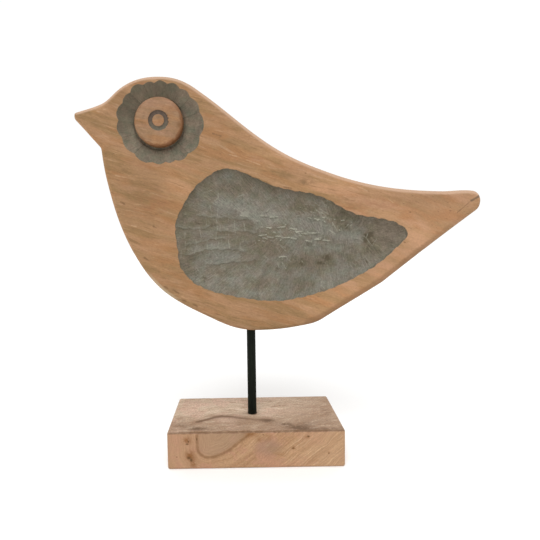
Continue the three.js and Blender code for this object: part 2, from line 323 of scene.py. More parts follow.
def bird_outline():
    """The bird's edge as a closed clockwise line."""
    stretches = []
    for start, end in zip(BIRD_OUTLINE, BIRD_OUTLINE[1:]):
        a = np.array(start[1:3], float)
        b = np.array(end[1:3], float)
        leaves = math.radians(start[-1])
        arrives = math.radians(end[3])
        handle = HANDLE_SHARE * np.linalg.norm(b - a)
        c = a + handle * np.array([math.cos(leaves), math.sin(leaves)])
        d = b - handle * np.array([math.cos(arrives), math.sin(arrives)])
        t = np.linspace(0, 1, 200)[:, None]
        curve = a * (1 - t) ** 3 + 3 * c * t * (1 - t) ** 2 + 3 * d * t**2 * (1 - t) + b * t**3
        stretches.append(evenly(curve, EDGE_GAP)[:-1])
    tip = np.array([BIRD_OUTLINE[-1][1:3], BIRD_OUTLINE[0][1:3]], float)
    stretches.append(evenly(tip, EDGE_GAP)[:-1])
    return softened(np.concatenate(stretches), 3)


def circle(middle, radius, gap):
    """A closed counterclockwise line."""
    count = round(2 * math.pi * radius / gap)
    angles = 2 * math.pi * np.arange(count) / count
    return np.array(middle) + radius * np.stack([np.cos(angles), np.sin(angles)], axis=1)


def distance_to(points, loop):
    """How far each point is from a closed line of close points."""
    tree = kdtree.KDTree(len(loop))
    for number, (x, y) in enumerate(loop):
        tree.insert((x, y, 0), number)
    tree.balance()
    nearest = np.array([tree.find((x, y, 0))[1] for x, y in points], int)
    found = np.full(len(points), np.inf)
    for start in (nearest, nearest - 1):
        span = loop[(start + 1) % len(loop)] - loop[start]
        away = points - loop[start]
        share = np.clip((away * span).sum(axis=1) / (span**2).sum(axis=1), 0, 1)
        found = np.minimum(found, np.linalg.norm(away - share[:, None] * span, axis=1))
    return found


def from_straight(points, start, end):
    """How far each point is from a straight line, and how far along it the nearest place is."""
    span = end - start
    away = points - start
    share = np.clip(away @ span / (span @ span), 0, 1)
    return np.linalg.norm(away - share[:, None] * span, axis=1), share * np.linalg.norm(span)


def from_line(points, line):
    """How far each point is from an open line, and how far along it the nearest place is."""
    found = np.full(len(points), np.inf)
    where = np.zeros(len(points))
    for start, end, along in zip(line, line[1:], lengths_along(line)):
        away, further = from_straight(points, start, end)
        where = np.where(away < found, along + further, where)
        found = np.minimum(found, away)
    return found, where


def distance_to_strokes(points, strokes):
    """How far each point is from the nearest of some short straight strokes (x, z, x, z)."""
    found = np.full(len(points), FAR)
    for x1, z1, x2, z2 in strokes:
        found = np.minimum(found, from_straight(points, np.array([x1, z1]), np.array([x2, z2]))[0])
    return found


def is_inside(points, loop):
    """Which points lie inside a closed line."""
    ends = np.roll(loop, -1, axis=0)
    result = np.zeros(len(points), bool)
    for (x1, y1), (x2, y2) in zip(loop, ends):
        if y1 == y2:
            continue
        crosses = (points[:, 1] < y1) != (points[:, 1] < y2)
        result ^= crosses & (points[:, 0] < x1 + (points[:, 1] - y1) * (x2 - x1) / (y2 - y1))
    return result


def offset(loop, distance):
    """Points at a distance on the right of a closed line, without those that come nearer to it."""
    tangents = np.roll(loop, -1, axis=0) - np.roll(loop, 1, axis=0)
    tangents /= np.linalg.norm(tangents, axis=1)[:, None]
    moved = loop + distance * np.stack([tangents[:, 1], -tangents[:, 0]], axis=1)
    slack = 0.03
    return moved[distance_to(moved, loop) > abs(distance) - slack]


def honeycomb(low, high, gap):
    """Points spread evenly over a rectangle."""
    row_gap = gap * math.sqrt(3) / 2
    rows = [
        np.stack(np.meshgrid(np.arange(low[0] + (i % 2) * gap / 2, high[0], gap), [y]), axis=-1)[0]
        for i, y in enumerate(np.arange(low[1], high[1], row_gap))
    ]
    return np.concatenate(rows)


def clear_of(points, loop, least):
    return points[distance_to(points, loop) > least]


def spread_inside(outline, gap, least):
    """Points spread evenly inside an outline, and clear of it."""
    points = honeycomb(outline.min(axis=0), outline.max(axis=0), gap)
    return clear_of(points[is_inside(points, outline)], outline, least)


def triangulate(loops, points):
    """Triangles through loops and free points, inside the outermost loop. Loops stay lines of edges."""
    edges = []
    first = 0
    for loop in loops:
        numbers = first + np.arange(len(loop))
        edges += np.stack([numbers, np.roll(numbers, -1)], axis=1).tolist()
        first += len(loop)
    everything = np.concatenate([*loops, points])
    found = delaunay_2d_cdt([Vector(p) for p in everything], edges, [], 1, 1e-6)
    return np.array([v[:] for v in found[0]]), np.array(found[2])


# Meshes


class Shell:
    """The parts of one closed surface, gathered in millimetres and sewn together at the end."""

    def __init__(self):
        self.points = []
        self.triangles = []
        self.count = 0

    def add(self, points, triangles):
        self.points.append(np.asarray(points, float))
        self.triangles.append(np.asarray(triangles, int) + self.count)
        self.count += len(points)

    def add_rings(self, rings):
        """Rings of points of one length, each joined to the next."""
        size = len(rings[0])
        here = np.arange(size)
        after = np.roll(here, -1)
        quads = [
            np.concatenate([
                np.stack([here + k, after + k, after + k + size], axis=1),
                np.stack([here + k, after + k + size, here + k + size], axis=1),
            ])
            for k in np.arange(len(rings) - 1) * size
        ]
        self.add(np.concatenate(rings), np.concatenate(quads))

    def add_cap(self, ring):
        """A flat fan that closes a ring."""
        size = len(ring)
        here = np.arange(size)
        fan = np.stack([here, np.roll(here, -1), np.full(size, size)], axis=1)
        self.add(np.concatenate([ring, ring.mean(axis=0)[None]]), fan)

    def sew(self, name):
        """The closed mesh as an object with smooth shading."""
        mesh = bpy.data.meshes.new(name)
        points = np.concatenate(self.points) * MM
        mesh.from_pydata(points.tolist(), [], np.concatenate(self.triangles).tolist())
        sewn = bmesh.new()
        sewn.from_mesh(mesh)
        bmesh.ops.remove_doubles(sewn, verts=sewn.verts, dist=0.01 * MM)
        bmesh.ops.recalc_face_normals(sewn, faces=sewn.faces)
        open_edges = sum(not edge.is_manifold for edge in sewn.edges)
        sewn.to_mesh(mesh)
        sewn.free()
        print(name, len(mesh.polygons), "triangles,", open_edges, "open edges")
        mesh.shade_smooth()
        body = bpy.data.objects.new(name, mesh)
        bpy.context.scene.collection.objects.link(body)
        return body


def vertex_places(body):
    """A mesh's vertices in millimetres."""
    places = np.empty(len(body.data.vertices) * 3, np.float32)
    body.data.vertices.foreach_get("co", places)
    return places.reshape(-1, 3).astype(float) / MM


def add_attributes(body, **attributes):
    """Gives each vertex numbers, which the material reads by their names."""
    for name, values in attributes.items():
        attribute = body.data.attributes.new(name, "FLOAT", "POINT")
        attribute.data.foreach_set("value", np.asarray(values, np.float32))


def finish_piece(body, node, material):
    body.data.materials.append(material)
    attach(body, "root")
    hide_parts(node)


# Carving


def wing_curve(t):
    """A point of the smooth closed curve through the wing's outline, t from 0 to 1."""
    corners = np.array(WING_OUTLINE, float)
    count = len(corners)
    place = (t % 1) * count
    first = int(place)
    u = place - first
    before, a, b, after = (corners[(first + k) % count] for k in (-1, 0, 1, 2))
    leaves = (b - before) / 2
    arrives = (after - a) / 2
    return (
        a + leaves * u + (3 * (b - a) - 2 * leaves - arrives) * u**2
        + (2 * (a - b) + leaves + arrives) * u**3
    )


WING_STEPS = np.linspace(0, 1, 201)
ALONG_WING = lengths_along(np.array([wing_curve(t) for t in WING_STEPS]))


def on_wing_curve(shares):
    """Points of the wing curve at shares of its length, and the headings there."""
    at = np.interp(np.asarray(shares) * ALONG_WING[-1], ALONG_WING, WING_STEPS)
    points = np.array([wing_curve(t) for t in at])
    small = 0.0001
    headings = np.array([wing_curve(t + small) - wing_curve(t - small) for t in at])
    return points, headings / np.linalg.norm(headings, axis=1)[:, None]


def stroke_count():
    """Even, because long and short strokes take turns."""
    return 2 * round(ALONG_WING[-1] / STROKE["pitch"] / 2)


def wing_rim():
    """The wing's edge as a closed counterclockwise line, with a faint scallop where each stroke starts."""
    count = round(ALONG_WING[-1] / CARVED_GAP)
    shares = np.arange(count) / count
    points, headings = on_wing_curve(shares)
    stroke = shares * stroke_count() + 0.25
    scallop = np.abs(np.sin(math.pi * stroke)) - 0.5
    wobble = 0.4 * np.sin(17.3 * stroke / 9 + 1) * np.sin(1.07 * stroke)
    bulge = BASIN["scallop"] * (scallop + wobble) * (0.3 + 0.7 * scatter(np.floor(stroke)))
    outwards = np.stack([headings[:, 1], -headings[:, 0]], axis=1)
    return softened(points + outwards * bulge[:, None], 1)


def wing_cuts():
    """The gouge strokes from the wing's rim inwards, every other one past the spine."""
    count = stroke_count()
    starts, headings = on_wing_curve([(i + 0.25 + 0.2 * unsteady(i)) / count for i in range(count)])
    xs = [x for x, _ in WING_OUTLINE]
    cuts = []
    for i, (start, heading) in enumerate(zip(starts, headings)):
        share = (start[0] - min(xs)) / (max(xs) - min(xs))
        meets = np.array([SPINE["from_x"] + share * (SPINE["to_x"] - SPINE["from_x"]), SPINE["z"]])
        slant = heading @ (meets - start) / np.linalg.norm(meets - start)
        inset = STROKE["inset"] + STROKE["slant_inset"] * slant**2
        begin = start + inset * np.array([-heading[1], heading[0]])
        reach = np.linalg.norm(meets - begin)
        cuts.append({
            "begin": begin,
            "end": begin + (meets - begin) * STROKE["short_share" if i % 2 else "long_share"],
            "width": np.clip(STROKE["share_of_reach"] * reach, STROKE["narrowest"], STROKE["widest"]),
            "depth": STROKE["depth"] * (1 + 0.08 * unsteady(i * i)),
            "fullness": STROKE["fullness"],
        })
    return cuts


def petal_cuts():
    """The petals of the eye dish. A petal is as wide as the room that its neighbours leave it."""
    cuts = []
    for i, (angle, reach) in enumerate(PETALS):
        before = PETALS[i - 1][0] - (360 if i == 0 else 0)
        after = PETALS[(i + 1) % len(PETALS)][0] + (360 if i == len(PETALS) - 1 else 0)
        outwards = np.array([math.cos(math.radians(angle)), math.sin(math.radians(angle))])
        cuts.append({
            "begin": EYE + outwards * reach,
            "end": EYE + outwards * (reach - PETAL["length"]),
            "width": PETAL["width_share"] * reach * math.sin(math.radians((after - before) / 4)),
            "depth": PETAL["depth"],
            "fullness": PETAL["fullness"],
        })
    return cuts


def cut_depths(points, cuts):
    """How deep each cut goes at each point, below zero outside it, and the place along and across it."""
    depths, along, across = np.empty((3, len(cuts), len(points)))
    for row, cut in enumerate(cuts):
        span = cut["end"] - cut["begin"]
        length = np.linalg.norm(span)
        way = span / length
        girth = (cut["width"] ** 2 / 4 + cut["depth"] ** 2) / (2 * cut["depth"])
        above = girth - cut["depth"]
        fullness = cut["fullness"]
        mark_share = (1 - (above / girth) ** fullness) ** (1 / fullness)
        away = points - (cut["begin"] + cut["end"]) / 2
        lengthways = away @ way
        across[row] = away @ np.array([-way[1], way[0]])
        t = np.minimum(np.abs(lengthways) / (length / 2 / mark_share), 1)
        radius = girth * (1 - t**fullness) ** (1 / fullness)
        depths[row] = np.sqrt(np.maximum(radius**2 - across[row] ** 2, 0)) - above
        along[row] = lengthways + length / 2
    return depths, along, across


def softest_depth(depths, softness):
    """The deepest of the cuts, with the ridges between them rounded."""
    deepest = depths.max(axis=0)
    return deepest + softness * np.log(np.exp((depths - deepest) / softness).sum(axis=0))


def edge_depth(distance, radius):
    """How far a rounded edge lies below the face, at a distance in from the outline."""
    distance = np.where(distance < 0.002, 0, distance)
    missing = np.maximum(radius - distance, 0)
    return radius - np.sqrt(radius**2 - missing**2)


def stroke(x, z, length, heading):
    """A short straight mark (x, z, x, z), from its middle, its length and its heading in degrees."""
    dx = length / 2 * math.cos(math.radians(heading))
    dz = length / 2 * math.sin(math.radians(heading))
    return (x - dx, z - dz, x + dx, z + dz)


def short_strokes(kind):
    """Short straight nicks, thickest round one place."""
    draw = np.random.default_rng(kind["seed"])
    strokes = []
    for _ in range(kind["count"]):
        x, z = draw.normal(kind["middle"], kind["spread"])
        heading = draw.uniform(*kind["headings"])
        strokes.append(stroke(x, z, kind["length"] * draw.uniform(0.2, 1), heading))
    return strokes


def strokes_in_rows(rows, kind):
    """Strokes in rows, each a little out of line and of its own length, as a hand leaves them."""
    strokes = []
    for x1, z1, x2, z2, count in rows:
        for share in (np.arange(count) + 0.5) / count:
            number = len(strokes)
            length = kind["length"] * (1 + 0.25 * unsteady(number))
            heading = kind["heading"] + kind["lean"] * unsteady(number + 0.3)
            z = z1 + (z2 - z1) * share + kind["drift"] * unsteady(number + 0.6)
            strokes.append(stroke(x1 + (x2 - x1) * share, z, length, heading))
    return strokes


WING_CUTS = wing_cuts()
PETAL_CUTS = petal_cuts()
WING_RIM = wing_rim()
OUTLINE = bird_outline()
DARK_MARKS = [stroke(*mark) for mark in WOOD_MARKS]
LIGHT_MARKS = [stroke(*mark) for mark in PALE_MARKS]
CHIP_MARKS = [
    (strokes_in_rows(CHIP_ROWS, CHIP), CHIP["width"]),
    (short_strokes(MORE_CHIPS), MORE_CHIPS["width"]),
]
SCRATCH_MARKS = [
    (strokes_in_rows(TICK_ROWS, TICK), TICK["width"]),
    ([stroke(*scratch) for scratch in SCRATCHES], SCRATCH_WIDTH),
    *((short_strokes(kind), kind["width"]) for kind in MORE_SCRATCHES),
]


def from_marks(points, kinds):
    """How far each point is from the edge of the nearest mark, below zero inside it."""
    return np.min([distance_to_strokes(points, marks) - width / 2 for marks, width in kinds], axis=0)


def above_ledges(points):
    """How far each point lies above the nearest ledge below it, and below the nearest one above it."""
    x, z = points.T
    above, below = np.full((2, len(points)), FAR)
    for number, (x1, z1, x2, z2, arch) in enumerate(LEDGES):
        share = np.clip((x - x1) / (x2 - x1), 0, 1)
        line = z1 + (z2 - z1) * share + arch * np.sin(math.pi * share)
        wobble = LEDGE["wobble"] * np.sin(0.47 * x + 2 * number) * np.sin(0.21 * x + number)
        wobble += LEDGE["wobble"] / 4 * np.sin(1.7 * x + number)
        rise = z - line - wobble
        beyond = 1.5 * np.maximum(np.maximum(x1 - x, x - x2), 0)
        above = np.where(rise >= 0, np.minimum(rise + beyond, above), above)
        below = np.where(rise < 0, np.minimum(beyond - rise, below), below)
    return above, below


def wing_relief(points, along, number):
    """The small ups and downs of the wing's floor."""
    x, z = points.T
    above, below = above_ledges(points)
    ledge = np.exp(-below / LEDGE["fades_below"]) - np.exp(-above / LEDGE["fades_above"])
    ledge *= LEDGE["height"] * ease(x, *LEDGE["fades_to_right"])
    waves = (
        np.sin(0.41 * x + 0.23 * z + 1) * np.sin(0.33 * z - 0.17 * x)
        + 0.7 * np.sin(0.83 * x - 0.49 * z) * np.sin(0.71 * z + 0.37 * x + 2)
    )
    relief = SWELL * waves + ledge
    step = along / STEP["length"] + scatter(number)
    stepped = scatter(number, np.floor(step)) > STEP["smooth_share"]
    relief += STEP["height"] * (frac(step) - 0.5) * stepped
    relief -= CHIP_DEPTH * np.exp(-np.maximum(from_marks(points, CHIP_MARKS), 0) / 0.5)
    for dent_x, dent_z, radius, depth in DENTS:
        relief += depth * np.exp(-((x - dent_x) ** 2 + (z - dent_z) ** 2) / radius**2)
    return relief


def deepest(points, cuts):
    """The depths of all cuts, the number of the deepest one, and the place along and across it."""
    depths, along, across = cut_depths(points, cuts)
    number = depths.argmax(axis=0)
    here = np.arange(len(points))
    return depths, number, along[number, here], across[number, here]


def in_wing(points):
    """The depth of the wing at each point, -1 outside it, and where along and across which stroke it is."""
    from_rim = distance_to(points, WING_RIM)
    basin = (
        BASIN["rim_cut"] * np.minimum(from_rim / BASIN["rim_cut_lean"], 1)
        + (BASIN["depth"] - BASIN["rim_cut"]) * np.minimum(from_rim / BASIN["wall"], 1)
    )
    depths, number, along, across = deepest(points, WING_CUTS)
    depth = softest_depth(np.vstack([depths, basin]), STROKE["softness"])
    depth += wing_relief(points, along, number) * np.clip((from_rim - 0.5) / 3, 0, 1)
    return np.where(is_inside(points, WING_RIM), depth, -1), along, across, number


def in_dish(points):
    """The same for the dish round the eye, from its petals, and how much deeper one is than the next."""
    depths, number, along, across = deepest(points, PETAL_CUTS)
    second, first = np.partition(depths, -2, axis=0)[-2:]
    return softest_depth(depths, PETAL["softness"]), along, across, number, first - second


def seat_depth(points):
    from_middle = np.linalg.norm(points - np.array(SEAT["middle"]), axis=1)
    return np.where(from_middle < SEAT["radius"] - 0.1, SEAT["depth"], -1)


def dish_rim():
    """The edge of the eye dish as a closed counterclockwise line, searched between inside and outside."""
    outer = circle(EYE, 44, 0.8)  # beyond every petal
    inner = (outer + np.array(EYE)) / 2
    low, high = np.zeros(len(outer)), np.ones(len(outer))
    for _ in range(14):
        middle = (low + high) / 2
        points = inner + (outer - inner) * middle[:, None]
        carved = in_dish(points)[0] > edge_depth(distance_to(points, OUTLINE), EDGE_RADIUS)
        low = np.where(carved, middle, low)
        high = np.where(carved, high, middle)
    return evenly(closed(inner + (outer - inner) * low[:, None]), CARVED_GAP)[:-1]


def in_zones(points, zones):
    """How strongly each point lies in soft zones (x, z, half width, half height, strength)."""
    return sum(
        strength * np.exp(-((points[:, 0] - x) / wide) ** 2 - ((points[:, 1] - z) / high) ** 2)
        for x, z, wide, high, strength in zones)


# Surfaces with a rounded edge


def edge_rings(outline, radius, count):
    """Rings of points over the rounded edge inside a clockwise outline."""
    angles = np.linspace(0, math.pi / 2, count + 1)[1:]
    return np.concatenate([offset(outline, radius * (1 - math.cos(angle))) for angle in angles])


def add_face(shell, loops, points, depth_at, to_space, hole=None):
    """A flat side of a piece, hollowed to depth_at, with to_space giving each point's place."""
    places, triangles = triangulate(loops, points)
    if hole is not None:
        triangles = triangles[~is_inside(places[triangles].mean(axis=1), hole)]
    shell.add(to_space(places, depth_at(places)), triangles)


def add_sides(shell, outline, low, high, row_count, to_space, hole=None):
    """The sides of a piece all round its outline, from low to high, with a round hole in them or none."""
    line = closed(outline)
    along = lengths_along(line)
    rows = np.linspace(low, high, row_count + 2)
    frame_line = np.concatenate([
        np.stack([along, np.full(len(along), low)], axis=1),
        np.stack([np.full(row_count, along[-1]), rows[1:-1]], axis=1),
        np.stack([along[::-1], np.full(len(along), high)], axis=1),
        np.stack([np.zeros(row_count), rows[-2:0:-1]], axis=1),
    ])
    free = np.stack(np.meshgrid(along[1:-1], rows[1:-1]), axis=-1).reshape(-1, 2)
    loops = [frame_line]
    if hole is not None:
        hole = np.stack([along_at(outline, hole[:, 0]), hole[:, 1]], axis=1)
        free = clear_of(free, hole, HOLE_GAP)
        free = free[~is_inside(free, hole)]
        loops.append(hole)
    places, triangles = triangulate(loops, free)
    if hole is not None:
        triangles = triangles[~is_inside(places[triangles].mean(axis=1), hole)]
    shell.add(to_space(places_along(line, places[:, 0]), places[:, 1]), triangles)


def along_at(outline, x):
    """How far along the bird's outline its underside has reached at x, near the rod's hole."""
    line = closed(outline)
    along = lengths_along(line)
    beside_hole = np.abs(line[:, 0] - ROD["x"]) < 3 * ROD["radius"]
    near = beside_hole & (line[:, 1] < BELLY_Z + 3 * ROD["radius"])
    order = np.argsort(line[near, 0])
    return np.interp(x, line[near, 0][order], along[near][order])


def add_hole(shell, rim, end_height):
    """The upright wall of a hole from its rim, and its flat end."""
    rings = []
    for share in np.linspace(0, 1, HOLE_RINGS):
        ring = rim.copy()
        ring[:, 2] += (end_height - rim[:, 2]) * share
        rings.append(ring)
    shell.add_rings(rings)
    shell.add_cap(rings[-1])


def on_side_of_plank(around, across):
    return np.stack([around[:, 0], across, around[:, 1]], axis=1)


def sunk_from(y, inwards):
    """Gives the places on an upright side at y, whose depth goes towards +Y or, with -1, towards -Y."""
    return lambda points, depth: on_side_of_plank(points, y + inwards * depth)


# The bird


def beside_strokes(strokes, gap):
    """Points along short straight strokes and on both sides of them."""
    found = []
    for x1, z1, x2, z2 in strokes:
        start, span = np.array([x1, z1]), np.array([x2 - x1, z2 - z1])
        length = np.linalg.norm(span)
        sideways = np.array([-span[1], span[0]]) / length
        for away in (-2 * gap, -gap, 0, gap, 2 * gap):
            for at in np.arange(-gap, length + 2 * gap, gap):
                found.append(start + span / length * at + sideways * away)
    return np.array(found)


def bird_face_points(dish):
    """Free points for the carved face: close together where it is carved."""
    fine = honeycomb(OUTLINE.min(axis=0), OUTLINE.max(axis=0), CARVED_GAP)
    fine = fine[is_inside(fine, WING_RIM) | is_inside(fine, dish)]
    seat_middle = np.array(SEAT["middle"])
    fine = fine[np.linalg.norm(fine - seat_middle, axis=1) > SEAT["radius"] + CARVED_GAP / 2]
    coarse = spread_inside(OUTLINE, FLAT_GAP, EDGE_RADIUS + FLAT_GAP / 3)
    in_seat = np.linalg.norm(coarse - seat_middle, axis=1) < SEAT["radius"] - 1
    coarse = coarse[~(is_inside(coarse, WING_RIM) | is_inside(coarse, dish)) | in_seat]
    beside_rims = [offset(rim, away) for rim in (WING_RIM, dish) for away in (-0.35, 0.35, 1.1)]
    groups = [
        (edge_rings(OUTLINE, EDGE_RADIUS, EDGE_RINGS), CARVED_GAP / 2),
        (np.concatenate(beside_rims), CARVED_GAP / 2),
        (fine, 0.9 * CARVED_GAP),
        (coarse, 0.8 * FLAT_GAP),
    ]
    marks = DARK_MARKS + TAIL_CRACK + FINE_CRACK + LIGHT_MARKS
    groups.append((clear_of(beside_strokes(marks, 0.6), OUTLINE, 0.6), CARVED_GAP / 2))
    kept = np.concatenate([
        clear_of(clear_of(points, WING_RIM, least), dish, least) for points, least in groups
    ])
    return kept[is_inside(kept, OUTLINE)]


def carved_bird():
    dish = dish_rim()
    shell = Shell()

    def face_depth(points):
        carved = np.maximum(in_wing(points)[0], in_dish(points)[0])
        carved = np.maximum(carved, seat_depth(points))
        return np.maximum(edge_depth(distance_to(points, OUTLINE), EDGE_RADIUS), carved)

    def back_depth(points):
        return edge_depth(distance_to(points, OUTLINE), EDGE_RADIUS)

    seat_wall = [
        circle(SEAT["middle"], SEAT["radius"] - inwards, CARVED_GAP) for inwards in (0, SEAT_WALL)]
    rims = [OUTLINE, WING_RIM, dish, *seat_wall]
    add_face(shell, rims, bird_face_points(dish), face_depth, sunk_from(-THICKNESS / 2, 1))
    coarse = spread_inside(OUTLINE, BACK_GAP, EDGE_RADIUS + BACK_GAP / 3)
    rings = edge_rings(OUTLINE, EDGE_RADIUS, EDGE_RINGS)
    back = sunk_from(THICKNESS / 2, -1)
    add_face(shell, [OUTLINE], np.concatenate([rings, coarse]), back_depth, back)

    half = THICKNESS / 2 - EDGE_RADIUS
    hole = circle((ROD["x"], 0), ROD["radius"] + CLEARANCE, HOLE_GAP)
    add_sides(shell, OUTLINE, -half, half, SIDE_ROWS, on_side_of_plank, hole)
    rim = places_along(closed(OUTLINE), along_at(OUTLINE, hole[:, 0]))
    top = BELLY_Z + ROD["depth_in_bird"] + CLEARANCE
    add_hole(shell, np.stack([rim[:, 0], hole[:, 1], rim[:, 1]], axis=1), top)
    body = shell.sew("carved_bird")
    paint_bird(body, dish)
    finish_piece(body, "bird_body", bird_material())


def shade_of_rims(face, near_wing, from_rim):
    """How strongly painted shade darkens the paint below the wing's upper rim, and in the upper left of the
    eye dish.
    """
    in_shade = ease(face[:, 1], OVERHANG["low"], OVERHANG["high"])
    under_rim = ease(from_rim, OVERHANG["reach"], OVERHANG["full"])
    top_left = (face - np.array(EYE)) @ np.array(DISH_SHADE["towards"]) / DISH_SHADE["reach"]
    in_dish_shade = ease(top_left, DISH_SHADE["low"], DISH_SHADE["high"])
    return np.where(near_wing, in_shade * under_rim, in_dish_shade)


def paint_bird(body, dish):
    """What the bird's material reads at each point: how far it is from the edges, strokes and marks."""
    places = vertex_places(body)
    face = places[:, [0, 2]]
    in_front = places[:, 1] < 0
    near_wing = is_inside(face, WING_RIM)
    carved = in_front & (near_wing | is_inside(face, dish))
    from_rim = np.minimum(distance_to(face, WING_RIM), distance_to(face, dish))
    normals = np.empty(len(places) * 3, np.float32)
    body.data.vertex_normals.foreach_get("vector", normals)
    normals = normals.reshape(-1, 3)
    from_lit = np.linalg.norm(face - np.array(LIT_RIM["middle"]), axis=1)
    add_attributes(
        body,
        faces_up=normals[:, 2],
        faces_left=-normals[:, 0],
        outline_edge=distance_to(face, OUTLINE),
        paint_edge=np.where(carved, from_rim, -from_rim),
        overhung=np.where(carved, shade_of_rims(face, near_wing, from_rim), 0),
        from_under_tail=from_line(face, np.array(SHADED_EDGE_UNDER_TAIL, float))[0],
        lit_rim=ease(from_lit, LIT_RIM["reach"], LIT_RIM["reach"] / 3),
        paint_zone=in_zones(face, PAINT_ZONES),
        tip=in_zones(face, WING_TIP),
        grime=in_zones(face, GRIME_AND_PAINTED_LIGHT),
        wood_zone=in_zones(face, WOOD_ZONES),
        reddish=in_zones(face, REDDISH_ZONES),
        wood_stain=np.where(in_front, in_zones(face, WOOD_STAINS), 0))

    _, wing_along, wing_across, wing_number = in_wing(face)
    _, dish_along, dish_across, petal_number, petal_step = in_dish(face)
    add_attributes(
        body,
        stroke_along=np.where(near_wing, wing_along, dish_along),
        stroke_across=np.where(near_wing, wing_across, dish_across),
        stroke_number=np.where(near_wing, wing_number, petal_number + len(WING_CUTS)),
        petal_step=np.where(near_wing | ~in_front, FAR, petal_step))

    above, below = above_ledges(face)
    for name, values in (
        ("above_ledge", above), ("below_ledge", below), ("from_chips", from_marks(face, CHIP_MARKS)),
        ("under_chips", from_marks(face + np.array([0, CHIP_SHADOW]), CHIP_MARKS)),
        ("from_scratches", from_marks(face, SCRATCH_MARKS)),
    ):
        add_attributes(body, **{name: np.where(near_wing & in_front, values, FAR)})
    for name, marks, width in (
        ("from_wood_marks", DARK_MARKS, WOOD_MARK_WIDTH), ("from_pale_marks", LIGHT_MARKS, WOOD_MARK_WIDTH),
        ("from_crack", TAIL_CRACK, CRACK_WIDTH), ("from_fine_crack", FINE_CRACK, FINE_CRACK_WIDTH),
    ):
        values = from_marks(face, [(marks, width)])
        add_attributes(body, **{name: np.where(in_front, values, FAR)})


# The eye disc


def groove_depth(points):
    """The ring cut in the disc, with the ragged edge that a hand leaves."""
    away = points - np.array(RING_GROOVE["middle"])
    angle = np.arctan2(away[:, 1], away[:, 0])
    teeth = scatter(np.floor(angle * RAGGED_EDGE["teeth"])) - RAGGED_EDGE["smooth_share"]
    ragged = RAGGED_EDGE["height"] * teeth * ease(np.cos(angle + RAGGED_EDGE["turned"]), 0.3, 0.8)
    distance = np.linalg.norm(away, axis=1)
    inside = np.minimum(distance - RING_GROOVE["inner"], RING_GROOVE["outer"] + ragged - distance)
    return RING_GROOVE["depth"] * ease(inside, -0.3, 0.35)


def eye_disc():
    outline = circle(DISC["middle"], DISC["radius"], DISC_MESH["outline_gap"])[::-1]
    front = -THICKNESS / 2 - DISC["stands_proud"]
    back = -THICKNESS / 2 + SEAT["depth"] - CLEARANCE
    shell = Shell()

    def face_depth(points):
        rounded = edge_depth(distance_to(points, outline), DISC["edge_radius"])
        return np.maximum(rounded, groove_depth(points))

    rings = edge_rings(outline, DISC["edge_radius"], DISC_MESH["edge_rings"])
    fine = spread_inside(outline, DISC_MESH["front_gap"], DISC["edge_radius"] + 0.3)
    add_face(shell, [outline], np.concatenate([rings, fine]), face_depth, sunk_from(front, 1))
    coarse = spread_inside(outline, DISC_MESH["back_gap"], 1)
    add_face(shell, [outline], coarse, lambda points: np.zeros(len(points)), sunk_from(back, 1))
    low = front + DISC["edge_radius"]
    add_sides(shell, outline, low, back, DISC_MESH["side_rows"], on_side_of_plank)
    body = shell.sew("turned_eye_disc")
    places = vertex_places(body)
    face = places[:, [0, 2]]
    depth = np.where(places[:, 1] < front + 2, groove_depth(face), 0)
    from_middle = np.linalg.norm(face - np.array(DISC["middle"]), axis=1)
    add_attributes(
        body, groove=depth / RING_GROOVE["depth"], edge=DISC["radius"] - from_middle,
        stain=in_zones(face, DISC_STAINS))
    finish_piece(body, "eye_disc", disc_material())


# The rod


def stand_rod():
    low = BASE["height"] - ROD["depth_in_base"]
    high = BELLY_Z + ROD["depth_in_bird"]
    radius, eased = ROD["radius"], ROD["eased_end"]
    heights = np.linspace(low + eased, high - eased, ROD_MESH["rings"])
    profile = [(radius - eased, low), (radius - 0.3 * eased, low + 0.3 * eased)]
    profile += [(radius, z) for z in heights]
    profile += [(radius - 0.3 * eased, high - 0.3 * eased), (radius - eased, high)]
    rings = []
    for ring_radius, z in profile:
        ring = circle((ROD["x"], 0), ring_radius, 2 * math.pi * ring_radius / ROD_MESH["points_round"])
        rings.append(np.column_stack([ring, np.full(len(ring), z)]))
    shell = Shell()
    shell.add_rings(rings)
    shell.add_cap(rings[0])
    shell.add_cap(rings[-1])
    finish_piece(shell.sew("black_rod"), "stand_rod", rod_material())


# The block


def rounded_rectangle(width, depth, radius, gap):
    """A closed clockwise line round the origin."""
    quarter = np.linspace(0, math.pi / 2, 4)
    corners = []
    for x, y, turn in ((1, 1, 0), (1, -1, 1), (-1, -1, 2), (-1, 1, 3)):
        angles = math.pi / 2 - quarter - turn * math.pi / 2
        middle = np.array([x * (width / 2 - radius), y * (depth / 2 - radius)])
        corners.append(middle + radius * np.stack([np.cos(angles), np.sin(angles)], axis=1))
    line = closed(np.concatenate(corners))
    sides = [evenly(line[k:k + 2], gap)[:-1] for k in range(len(line) - 1)]
    return np.concatenate(sides)


